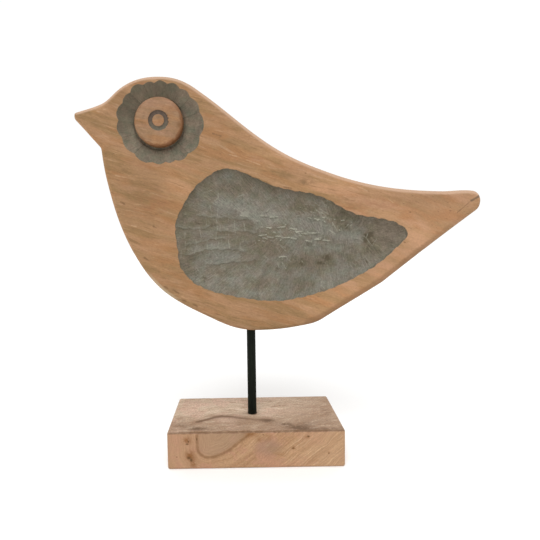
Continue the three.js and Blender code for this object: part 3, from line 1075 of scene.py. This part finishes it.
def base_block():
    radius, height = BASE["edge_radius"], BASE["height"]
    outline = rounded_rectangle(BASE["width"], BASE["depth"], radius, BLOCK_MESH["outline_gap"])
    hole = circle((ROD["x"], 0), ROD["radius"] + CLEARANCE, HOLE_GAP)
    rings = edge_rings(outline, radius, BLOCK_MESH["edge_rings"])
    free = np.concatenate([rings, spread_inside(outline, BLOCK_MESH["face_gap"], radius + 0.5)])
    round_hole = clear_of(free[~is_inside(free, hole)], hole, HOLE_GAP)
    shell = Shell()

    def depth_at(points):
        return edge_depth(distance_to(points, outline), radius)

    add_face(
        shell, [outline, hole], round_hole, depth_at,
        lambda points, depth: np.column_stack([points, height - depth]), hole)
    add_face(shell, [outline], free, depth_at, lambda points, depth: np.column_stack([points, depth]))
    add_sides(
        shell, outline, radius, height - radius, BLOCK_MESH["side_rows"],
        lambda around, z: np.column_stack([around, z]))
    add_hole(
        shell, np.column_stack([hole, np.full(len(hole), height)]),
        height - ROD["depth_in_base"] - CLEARANCE)
    body = shell.sew("sawn_block")
    paint_block(body)
    finish_piece(body, "base_block", block_material())


def rounded_line(corners, rounds=3):
    """An open line with its corners cut off again and again until it is smooth."""
    line = np.array(corners, float)
    for _ in range(rounds):
        before, after = line[:-1], line[1:]
        cut = np.stack([0.75 * before + 0.25 * after, 0.25 * before + 0.75 * after], axis=1)
        line = np.concatenate([line[:1], cut.reshape(-1, 2), line[-1:]])
    return line


def paint_block(body):
    """What the block's material reads: across and along the year rings, the dark line, and the stains."""
    x, y, z = vertex_places(body).T
    side = np.column_stack([x, z])
    plan = np.column_stack([x, y])
    radius = BASE["edge_radius"] * 0.6  # the rounding as far as it belongs to the side beside it
    on_top = z > BASE["height"] - radius
    flat = on_top | (z < radius)
    on_end = (np.abs(x) > BASE["width"] / 2 - radius) & ~flat
    on_back = (y > BASE["depth"] / 2 - radius) & ~flat & ~on_end
    in_front = ~(flat | on_end | on_back)

    heart = rounded_line(HEART_LINE)
    from_heart, along_heart = from_line(side, heart)
    above = 200
    heart_loop = np.concatenate([heart, [[heart[-1, 0], above], [heart[0, 0], above]]])
    from_heart = np.where(is_inside(side, heart_loop), -from_heart, from_heart)
    crest = rounded_line(TOP_LINE)
    from_crest = y - np.interp(x, crest[:, 0], crest[:, 1])
    log_y, log_z = LOG_MIDDLE
    end_rings = np.sqrt((y - log_y) ** 2 + (z - log_z) ** 2)
    round_end = np.sign(x) * 40 + np.arctan2(y - log_y, z - log_z) * 60
    apart = 200  # between the rings of two sides, so that no two sides look alike
    sides = [flat, on_end, on_back]
    across = [from_crest * 0.8 + apart, end_rings + 2 * apart, np.abs(from_heart) + 3 * apart]
    along = [x + 1.5 * apart, round_end, along_heart]

    dark = (crest[:, 0] > DARK_LINE[0]) & (crest[:, 0] < DARK_LINE[1])
    dark_line, _ = from_line(plan, crest[dark])
    ring_line, _ = from_line(side, heart[heart[:, 1] < HEART_TOP])
    add_attributes(
        body,
        across_rings=np.select(sides, across, from_heart),
        along_rings=np.select(sides, along, along_heart),
        from_dark_line=np.where(on_top, dark_line, FAR),
        from_front_edge=np.hypot(y + BASE["depth"] / 2, z - BASE["height"]),
        from_ring_line=np.where(in_front, ring_line, FAR),
        heart=np.where(in_front, ease(-from_heart, -1, 3), 0),
        top_stain=np.where(on_top, in_zones(plan, TOP_STAINS), 0),
        front_stain=np.where(in_front, in_zones(side, FRONT_STAINS), 0),
        grey_zone=np.where(in_front, in_zones(side, GREY_ZONES), 0))


# Materials


def tone(red, green, blue):
    """The colour that looks so on a screen, 0 to 255, in the studio's light."""
    def linear(value):
        value /= 255
        return (value / 12.92 if value <= 0.04045 else ((value + 0.055) / 1.055) ** 2.4) / FRONT_LIGHT

    return (linear(red), linear(green), linear(blue), 1)


FRONT_LIGHT = 1.19  # how brightly the studio lights a pale thing that faces the camera
WHITE = (1, 1, 1, 1)
BIRD_WOOD = {
    "tilt": -18,  # of the grain, in degrees
    "tan": tone(170, 131, 92), "olive": tone(152, 118, 78), "orange": tone(168, 120, 78),
    "blush": tone(180, 138, 102), "pale": tone(196, 160, 126), "dark": tone(128, 97, 60),
    "pore": tone(106, 76, 52),
}
DISC_WOOD = {
    **BIRD_WOOD, "tilt": -14,
    "tan": tone(160, 125, 94), "olive": tone(152, 118, 84), "blush": tone(170, 130, 102),
}
BLOCK_WOOD = {  # on the sides, and on the top
    "light": (tone(196, 157, 119), tone(208, 183, 158)),
    "dark": (tone(168, 127, 91), tone(188, 162, 136)),
    "bright": (tone(218, 184, 148), tone(226, 204, 182)),
    "pink": (tone(190, 142, 114), tone(204, 170, 148)),
}
PAINT = {  # two tints of each, which blend in patches
    "cool": (tone(126, 125, 112), tone(132, 126, 115)),
    "warm": (tone(109, 102, 82), tone(118, 106, 90)),
    "dish": (tone(112, 107, 88), tone(126, 110, 92)),
}


class Value:
    """What a node gives at each point of a surface, with the usual arithmetic."""

    def __init__(self, nodes, socket):
        self.nodes = nodes
        self.socket = socket

    def __add__(self, other):
        return self.nodes.math("ADD", self, other)

    def __sub__(self, other):
        return self.nodes.math("SUBTRACT", self, other)

    def __rsub__(self, other):
        return self.nodes.math("SUBTRACT", other, self)

    def __mul__(self, other):
        return self.nodes.math("MULTIPLY", self, other)


class Nodes:
    """The nodes of a material or of the world, written as functions of colours and numbers."""

    def __init__(self, tree):
        self.tree = tree

    def add(self, kind, inputs, output=0, **settings):
        node = self.tree.nodes.new(kind)
        for name, value in settings.items():
            setattr(node, name, value)
        for key, value in inputs.items():
            self.put(node.inputs[key], value)
        return Value(self, node.outputs[output])

    def put(self, socket, value):
        if isinstance(value, Value):
            self.tree.links.new(value.socket, socket)
        else:
            socket.default_value = value

    def attribute(self, name):
        return self.add("ShaderNodeAttribute", {}, output="Fac", attribute_name=name)

    def place(self):
        """The place on the piece in millimetres."""
        here = self.add("ShaderNodeTexCoord", {}, output="Object")
        return self.vector("MULTIPLY", here, (1 / MM, 1 / MM, 1 / MM))

    def vector(self, operation, a, b):
        return self.add("ShaderNodeVectorMath", {0: a, 1: b}, operation=operation)

    def length(self, vector):
        return self.add("ShaderNodeVectorMath", {0: vector}, output=1, operation="LENGTH")

    def join(self, x, y, z):
        return self.add("ShaderNodeCombineXYZ", {0: x, 1: y, 2: z})

    def split(self, vector):
        return [self.add("ShaderNodeSeparateXYZ", {0: vector}, output=axis) for axis in (0, 1, 2)]

    def math(self, operation, a, b):
        return self.add("ShaderNodeMath", {0: a, 1: b}, operation=operation)

    def noise(self, place, stretch, detail=2, roughness=0.5, output="Fac"):
        """Soft noise whose blots are as long as stretch says, in millimetres."""
        scaled = self.vector("DIVIDE", place, stretch)
        settings = {"Vector": scaled, "Scale": 1, "Detail": detail, "Roughness": roughness}
        return self.add("ShaderNodeTexNoise", settings, output=output)

    def span(self, value, low, high, to_low=0, to_high=1):
        """A value eased from low..high onto another span."""
        ends = {"From Min": low, "From Max": high, "To Min": to_low, "To Max": to_high}
        return self.add(
            "ShaderNodeMapRange", {"Value": value, **ends}, interpolation_type="SMOOTHSTEP")

    def mix(self, share, a, b, blend="MIX"):
        return self.add(
            "ShaderNodeMix", {0: share, 6: a, 7: b}, output=2, data_type="RGBA", blend_type=blend)

    def blots(self, colour, mask, other, strength=1):
        return self.mix(mask * strength, colour, other)

    def brightened(self, colour, share, factor):
        """A colour times a factor, where share is 1."""
        return self.mix(share, colour, factor, "MULTIPLY")

    def shaded(self, colour, value, depth):
        """A colour made darker and lighter by a noise value around 0.5."""
        factor = self.span(value, 0.2, 0.8, -1, 1) * depth + 1
        grey = self.add("ShaderNodeCombineColor", dict.fromkeys((0, 1, 2), factor))
        return self.brightened(colour, 1, grey)


class Material(Nodes):
    """A material and its shader."""

    def __init__(self, name):
        self.material = bpy.data.materials.new(name)
        self.material.use_nodes = True
        super().__init__(self.material.node_tree)
        self.shader = self.tree.nodes["Principled BSDF"]

    def finish(self, colour, roughness, height, relief, gloss=0.3):
        """Gives the shader its looks, with a bump from a height of 0..1 times relief in millimetres."""
        bump = self.add("ShaderNodeBump", {"Height": height, "Strength": 1, "Distance": relief * MM})
        for name, value in (
            ("Base Color", colour), ("Roughness", roughness), ("Normal", bump),
            ("Specular IOR Level", gloss),
        ):
            self.put(self.shader.inputs[name], value)
        return self.material


def wood(n, look, shift):
    """The colour and the height of sanded wood whose grain tilts by an angle about Y."""
    place = n.add(
        "ShaderNodeVectorRotate",
        {"Vector": n.vector("ADD", n.place(), shift), "Angle": math.radians(look["tilt"])},
        rotation_type="Y_AXIS")
    sway = n.vector("SUBTRACT", n.noise(place, (80, 40, 40), output="Color"), (0.5, 0.5, 0.5))
    grain = n.vector("ADD", place, n.vector("MULTIPLY", sway, (0, 12, 12)))
    bands = n.noise(grain, (60, 6, 6), detail=3, roughness=0.6)
    blotches = n.noise(grain, (34, 9, 9), detail=4)
    warmth = n.noise(n.vector("ADD", grain, (90, 0, 50)), (34, 8, 8), detail=4)
    streaks = n.noise(grain, (24, 2.2, 2.2), detail=3, roughness=0.6)
    threads = n.noise(grain, (10, 0.8, 0.8))
    dashes = n.noise(grain, (4, 0.9, 0.9), detail=1)
    grit = n.noise(grain, (1.9, 1.2, 1.2), roughness=0.6)
    x, _, _ = n.split(place)
    plainer_to_the_right = n.span(x, 20, 120, 1, 0.45)
    rougher_to_the_left = n.span(x, 60, 0, 0.35, 1)
    pores = n.span(dashes, 0.66, 0.78) * n.span(blotches, 0.6, 0.4)
    colour = n.mix(n.span(bands, 0.34, 0.66) * plainer_to_the_right, look["tan"], look["olive"])
    colour = n.blots(colour, n.span(warmth, 0.46, 0.66), look["orange"], 0.7)
    colour = n.blots(colour, n.span(blotches, 0.44, 0.66), look["blush"], 0.75)
    colour = n.blots(colour, n.span(streaks, 0.54, 0.74), look["dark"], rougher_to_the_left * 0.55)
    colour = n.blots(colour, n.span(streaks, 0.44, 0.26), look["pale"], rougher_to_the_left * 0.4)
    colour = n.blots(colour, n.span(threads, 0.64, 0.78), look["pale"], rougher_to_the_left * 0.3)
    colour = n.blots(colour, pores, look["pore"], 0.5)
    colour = n.shaded(colour, threads, rougher_to_the_left * 0.07)
    colour = n.shaded(colour, grit, 0.09)
    return colour, threads - pores * 0.6


def marked_wood(n, place, ragged, blotch):
    """The bird wood's colour and height, with its zones, painted light and shade at its edges, stains and
    marks.
    """
    colour, height = wood(n, BIRD_WOOD, (0, 0, 0))
    x, _, _ = n.split(place)
    colour = n.brightened(colour, n.span(x, 10, 140), (1.17, 1.17, 1.28, 1))
    zone = (n.noise(place, (12, 12, 8)) - 0.5) * 0.9 + n.attribute("wood_zone")
    colour = n.brightened(colour, 1, n.span(zone, -2, 2, 0.8, 1.2))
    # Painted light on the rounded edges that face left
    painted_light_on_left_edges = n.span(n.attribute("outline_edge"), 4, 0) * n.span(n.attribute("faces_left"), 0, 0.7)
    colour = n.brightened(colour, painted_light_on_left_edges, (1.3, 1.3, 1.3, 1))
    edge = ragged * 1.2 + n.attribute("outline_edge")
    under_tail = n.span(ragged * 2 + n.attribute("from_under_tail"), 7, 4)
    reddish = n.span(n.noise(place, (7, 7, 4), detail=3), 0.4, 0.6)
    for mask, other, strength in (
        (n.attribute("reddish") * reddish, tone(156, 104, 74), 0.6),
        (n.attribute("wood_stain") * n.span(blotch, 0.35, 0.6), tone(132, 102, 68), 0.6),
        # Painted highlight along the rounded edges that face up
        (n.span(edge, 5, 2.2) * n.span(n.attribute("faces_up"), 0, 0.4), tone(216, 180, 152), 0.7),
        # Painted highlight on the breast's lower rim
        (n.span(edge, 3.7, 2.2) * n.attribute("lit_rim"), tone(204, 182, 150), 0.55),
        # Painted shade along the downward-facing edge under the tail
        (under_tail * n.span(x, 196, 140, 0.25, 1), tone(140, 104, 70), 0.6),
    ):
        colour = n.blots(colour, mask, other, strength)
    for marks, raggedness, outside, inside, other, strength in (
        ("from_pale_marks", 1.6, 0.4, -0.3, tone(206, 172, 136), 0.45),
        ("from_wood_marks", 2.4, 0.9, -0.2, tone(124, 91, 60), 0.75),
        ("from_fine_crack", 1.2, 0.6, -0.2, tone(132, 100, 72), 0.75),
        ("from_crack", 1.4, 0.6, -0.2, tone(108, 90, 70), 0.75),
    ):
        mark = n.span(ragged * raggedness + n.attribute(marks), outside, inside)
        colour = n.blots(colour, mark, other, strength)
    return colour, height


def paint(n, place):
    """The colour and the height of the grey paint, brushed along the gouge strokes."""
    stroke_number = n.attribute("stroke_number")
    apart = 3.7  # keeps the brushing of one stroke from that of the next
    brushed = n.join(n.attribute("stroke_along"), n.attribute("stroke_across"), stroke_number * apart)
    in_dish = n.math("GREATER_THAN", stroke_number, len(WING_CUTS) - 0.5)
    patches = n.noise(place, (13, 13, 11), detail=3, roughness=0.6)
    tint = n.noise(n.vector("ADD", place, (70, 0, 30)), (9, 9, 7), detail=3, roughness=0.6)
    tint = n.span(tint, 0.35, 0.65)
    smears = n.noise(n.vector("ADD", place, (30, 0, 90)), (3, 3, 6), detail=3, roughness=0.6)
    hairs = n.noise(brushed, (7, 0.7, 1), detail=3, roughness=0.65)
    speckle = n.noise(place, (1.5, 1.5, 1.5), detail=3, roughness=0.65)
    cool, warm, dish = (n.mix(tint, *PAINT[kind]) for kind in ("cool", "warm", "dish"))
    zone = (patches - 0.5) * 3.6 + n.attribute("paint_zone")
    colour = n.mix(n.span(zone, -1, 1), cool, warm)
    colour = n.blots(colour, in_dish, dish, 0.85)
    colour = n.blots(colour, n.attribute("tip") * (1 - in_dish), tone(128, 114, 99), 0.7)
    colour = n.shaded(colour, patches, in_dish * 0.2)
    colour = n.shaded(colour, smears, in_dish * 0.16)
    colour = n.shaded(colour, hairs, in_dish * -0.12 + 0.28)
    colour = n.shaded(colour, speckle, in_dish * -0.08 + 0.25)
    return colour, hairs + speckle * 0.7


def marked_paint(n, place, ragged, blotch):
    """The colour and the height of the paint with its painted shade and light, ledges, dirt and nicks."""
    colour, height = paint(n, place)
    # Painted shade below the wing's upper rim and in the upper left of the eye dish
    colour = n.blots(colour, n.attribute("overhung"), tone(94, 80, 60), 0.42)
    stroke_number = {"W": n.attribute("stroke_number")}
    stroke_tone = n.add("ShaderNodeTexWhiteNoise", stroke_number, noise_dimensions="1D")
    colour = n.shaded(colour, stroke_tone, 0.08)
    uneven = n.span(n.noise(place, (7, 7, 7)), 0.35, 0.65)
    petal_line = n.span(n.attribute("petal_step"), 0.25, 0) * n.span(blotch, 0.3, 0.6, 0.3, 1)
    below_ledge = n.attribute("below_ledge")
    grime = ragged * 1.5 + n.attribute("grime")
    splintered = n.noise(place, (2, 1, 0.8), detail=1) - 0.5
    chip = n.span(splintered * 2.6 + n.attribute("from_chips"), 0.5, -0.4)
    chip *= n.span(uneven, 0.1, 0.8, 0.6, 1)
    scratch = n.span(ragged * 0.7 + n.attribute("from_scratches"), 0.5, -0.25)
    nick = n.math("MAXIMUM", chip, scratch * n.span(blotch, 0.35, 0.6, 0.15, 0.62))
    for mask, other, strength in (
        (petal_line, tone(72, 65, 50), 0.6),
        # Painted shadows below the ledges
        (n.span(below_ledge, 6, 0), tone(104, 92, 74), 0.35),
        (n.span(below_ledge, 1.3, 0.1) * uneven, tone(82, 74, 58), 0.5),
        # Painted light above the ledges
        (n.span(n.attribute("above_ledge"), 4, 0), tone(138, 136, 122), 0.3),
        # Dirt, with painted shade in the dents; pale spots, with a painted highlight on the raised bump
        (n.span(grime, 0.1, 0.8), tone(76, 66, 46), 0.75),
        (n.span(grime, -0.3, -1), tone(154, 152, 138), 0.6),
        # Painted shadow below each chip
        (n.span(splintered * 2.4 + n.attribute("under_chips"), 0.7, -0.3), tone(88, 84, 70), 0.5),
        (nick, tone(180, 178, 160), 0.75),
    ):
        colour = n.blots(colour, mask, other, strength)
    return colour, nick * 1.2 + height


def bird_material():
    n = Material("carved bird wood")
    place = n.place()
    ragged = n.noise(place, (2.2, 2.2, 2.2)) - 0.5
    blotch = n.noise(place, (6, 6, 4), detail=3, roughness=0.6)
    wooden, wood_height = marked_wood(n, place, ragged, blotch)
    grey, paint_height = marked_paint(n, place, ragged, blotch)
    painted = n.span(ragged + n.attribute("paint_edge"), -0.15, 0.2)
    height = n.mix(painted, wood_height * 0.6, paint_height)
    return n.finish(n.mix(painted, wooden, grey), painted * 0.06 + 0.64, height, 0.14)


def disc_material():
    n = Material("disc wood")
    place = n.place()
    x, _, z = n.split(place)
    colour, height = wood(n, DISC_WOOD, (40, 10, 8))
    blotch = n.noise(place, (4, 4, 4))
    stained = n.attribute("stain") * n.span(blotch, 0.3, 0.55)
    colour = n.blots(colour, stained, tone(124, 82, 44), 0.75)
    # Darker brown near the disc's rim, most towards its lower right
    darker_rim = n.span((blotch - 0.5) * 5 + n.attribute("edge"), 2.6, 1) * n.span(x - z, -390, -350, 0.3, 1)
    colour = n.blots(colour, darker_rim, tone(124, 78, 42), 0.75)
    colour = n.shaded(colour, n.noise(place, (5, 5, 5), detail=4, roughness=0.65), 0.12)
    # The groove's grey is darker towards its top: painted shade below the groove's upper wall
    grey = n.mix(n.span(z, 300, 286), tone(94, 78, 66), tone(108, 102, 86))
    grey = n.shaded(grey, n.noise(place, (2, 2, 2)), 0.2)
    colour = n.mix(n.span(n.attribute("groove"), 0.25, 0.6), colour, grey)
    return n.finish(colour, 0.62, height, 0.1)


def rod_material():
    n = Material("black metal")
    wear = n.noise(n.place(), (3, 3, 12), detail=3)
    colour = n.mix(n.span(wear, 0.4, 0.7), tone(12, 17, 10), tone(26, 32, 22))
    return n.finish(colour, n.span(wear, 0.3, 0.7, 0.5, 0.68), wear, 0.1, gloss=0.12)


def ringed_wood(n, place, on_top, streaks):
    """The colour and the height of the block's wood, which is paler and streaked on its top."""
    x, y, _ = n.split(place)
    in_front = 1 - on_top
    wobble = n.noise(place, (14, 14, 14)) - 0.5
    rings = n.join(n.attribute("along_rings"), wobble * 5 + n.attribute("across_rings"), 0)
    broad = n.noise(rings, (70, 6, 1))
    lines = n.noise(rings, (30, 1.2, 1))
    fibres = n.noise(rings, (10, 0.5, 1))
    blotches = n.noise(place, (16, 16, 12), detail=3, roughness=0.6)
    speck = n.noise(place, (1.6, 1.6, 1.6), roughness=0.6)
    light, dark, bright, pink = (n.mix(on_top, *pair) for pair in BLOCK_WOOD.values())
    lively = n.math("MAXIMUM", n.span(x, -20, 40, 0.35, 1), on_top)
    browner = n.math("MAXIMUM", n.span(y, -6, -24), n.span(y * -0.6 + x, 0, 70)) * on_top
    colour = n.mix(n.span(broad, 0.3, 0.7, 0.15, 0.85), light, dark)
    for mask, other, strength in (
        (n.span(lines, 0.5, 0.66), dark, lively * 0.7),
        (n.span(lines, 0.46, 0.32), bright, lively * 0.6),
        (n.span(blotches, 0.46, 0.62) * n.span(x, 40, 0, 0.35, 0.8), pink, 1),
        (browner * n.span(streaks, 0.3, 0.6, 0.5, 1), tone(162, 130, 103), 0.85),
        (on_top * n.span(streaks, 0.5, 0.7), tone(152, 118, 90), 0.7),
        (on_top * n.span(streaks, 0.46, 0.28), tone(220, 196, 170), 0.45),
    ):
        colour = n.blots(colour, mask, other, strength)
    colour = n.shaded(colour, speck, on_top * 0.12 + 0.14)
    for mask, other, strength in (
        (n.attribute("heart"), tone(168, 138, 110), 0.65),
        (n.span(x, -20, -60) * in_front, tone(182, 142, 110), 0.5),
        (n.span(x, 20, 66) * in_front, tone(208, 172, 136), 0.28),
        (n.span(n.attribute("grey_zone"), 0.1, 0.9), tone(154, 126, 104), 0.5),
    ):
        colour = n.blots(colour, mask, other, strength)
    return n.shaded(colour, fibres, 0.14), fibres + lines * 0.6


def front_specks(n, place, ragged):
    """Where the block's front has dark specks."""
    x, y, z = n.split(place)
    front = -BASE["depth"] / 2
    specks = []
    for speck_x, speck_z, wide, high in FRONT_SPECKS:
        away = n.vector("SUBTRACT", n.join(x, 0, z), (speck_x, 0, speck_z))
        reach = n.length(n.vector("DIVIDE", away, (wide, 1, high)))
        specks.append(n.span(ragged * 0.5 + reach, 1.4, 0.4) * n.span(y, front + 2, front + 1))
    return specks


def block_material():
    n = Material("block wood")
    place = n.place()
    x, y, z = n.split(place)
    on_top = n.span(z, BASE["height"] - 1.6, BASE["height"] - 0.5)
    fanned = n.math("MAXIMUM", x - 12, 0) * -0.4 + y
    streaks = n.noise(n.join(x, fanned, z), (13, 6, 5), detail=5, roughness=0.7)
    colour, height = ringed_wood(n, place, on_top, streaks)
    ragged = (n.noise(place, (4, 4, 4)) - 0.5) * 2.4
    from_dark_line = n.attribute("from_dark_line")
    dark_line = n.span(ragged * 1.4 + from_dark_line, 3.4, 0.4)
    patchy = n.span(n.noise(place, (4, 4, 4), detail=4, roughness=0.7), 0.3, 0.56)
    for mask, other, strength in (
        (n.span(ragged + n.attribute("from_ring_line"), 2.2, 0.1), tone(128, 90, 54), 0.65),
        (n.span(from_dark_line, 10, 0) * n.span(streaks, 0.3, 0.55, 0.5, 1), tone(152, 118, 90), 0.6),
        (dark_line * n.span(x, -10, -30, 0.55, 0.9), tone(98, 66, 38), 0.85),
        (n.span(ragged * 0.7 + n.attribute("from_front_edge"), 2, 0.6), tone(108, 72, 44), 0.65),
        (n.attribute("top_stain") * patchy, tone(116, 88, 64), 0.8),
        (n.attribute("front_stain") * patchy, tone(136, 86, 40), 0.95),
    ):
        colour = n.blots(colour, mask, other, strength)
    for speck in front_specks(n, place, ragged):
        colour = n.blots(colour, speck, tone(96, 66, 34), 0.8)
    return n.finish(colour, 0.7, height, 0.12)


def floor_material():
    n = Material("pale floor")
    mottle = n.noise(n.place(), (300, 300, 300))
    n.put(n.shader.inputs["Emission Color"], WHITE)
    n.put(n.shader.inputs["Emission Strength"], FLOOR["glow"])
    return n.finish(n.mix(mottle, tone(253, 253, 252), tone(255, 255, 254)), 0.9, mottle, 0.01)


# The studio


CAMERA = {
    "place": (-11.1, -396.2, 193.9), "pitch": -4.16, "roll": -0.98,
    "lens": 29.17, "sensor": 36, "shift_x": 0.0554, "nearest": 10,
}
SUN = {"from": (-0.05, -0.58, 0.8), "spread": 44, "power": 2.1}
SKY = {"front": 0.3, "behind": 1.03, "behind_from": (-0.3, 0.6), "top": 0.6, "top_from": (0.1, 0.9)}
FLOOR = {"radius": 6000, "gap": 200, "height": -0.1, "glow": 0.18}


def camera():
    data = bpy.data.cameras.new("camera")
    data.sensor_width = CAMERA["sensor"]
    data.lens = CAMERA["lens"]
    data.shift_x = CAMERA["shift_x"]
    data.clip_start = CAMERA["nearest"] * MM
    body = bpy.data.objects.new("camera", data)
    turned = Matrix.Rotation(math.radians(90 + CAMERA["pitch"]), 4, "X")
    rolled = Matrix.Rotation(math.radians(CAMERA["roll"]), 4, "Z")
    body.matrix_world = Matrix.Translation(Vector(CAMERA["place"]) * MM) @ turned @ rolled
    bpy.context.scene.collection.objects.link(body)
    bpy.context.scene.camera = body


def soft_light():
    lamp = bpy.data.lights.new("soft light", "SUN")
    lamp.angle = math.radians(SUN["spread"])
    lamp.energy = SUN["power"]
    body = bpy.data.objects.new("soft light", lamp)
    body.matrix_world = Vector(SUN["from"]).to_track_quat("Z", "Y").to_matrix().to_4x4()
    bpy.context.scene.collection.objects.link(body)


def sky():
    """A pale room that is dim in front of the bird, brighter above and brightest behind it."""
    world = bpy.data.worlds.new("pale room")
    world.use_nodes = True
    n = Nodes(world.node_tree)
    _, y, z = n.split(n.add("ShaderNodeTexCoord", {}, output="Generated"))
    behind = n.span(y, *SKY["behind_from"], SKY["front"], SKY["behind"])
    above = n.span(z, *SKY["top_from"], SKY["front"], SKY["top"])
    background = world.node_tree.nodes["Background"]
    n.put(background.inputs["Color"], WHITE)
    n.put(background.inputs["Strength"], n.math("MAXIMUM", behind, above))
    bpy.context.scene.world = world


def pale_floor():
    rim = circle((0, 0), FLOOR["radius"], FLOOR["gap"])
    mesh = bpy.data.meshes.new("floor")
    places = np.column_stack([rim, np.full(len(rim), FLOOR["height"])]) * MM
    mesh.from_pydata(places.tolist(), [], [list(range(len(rim)))])
    floor = bpy.data.objects.new("floor", mesh)
    bpy.context.scene.collection.objects.link(floor)
    mesh.materials.append(floor_material())


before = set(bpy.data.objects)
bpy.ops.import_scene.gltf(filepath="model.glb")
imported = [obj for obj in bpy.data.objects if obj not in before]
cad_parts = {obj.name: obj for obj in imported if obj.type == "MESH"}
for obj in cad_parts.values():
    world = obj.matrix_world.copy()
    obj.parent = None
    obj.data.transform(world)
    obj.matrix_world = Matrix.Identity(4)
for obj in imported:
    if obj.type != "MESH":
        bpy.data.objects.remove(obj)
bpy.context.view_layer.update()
carved_bird()
eye_disc()
stand_rod()
base_block()
camera()
soft_light()
sky()
pale_floor()
bpy.context.scene.view_settings.view_transform = "Standard"
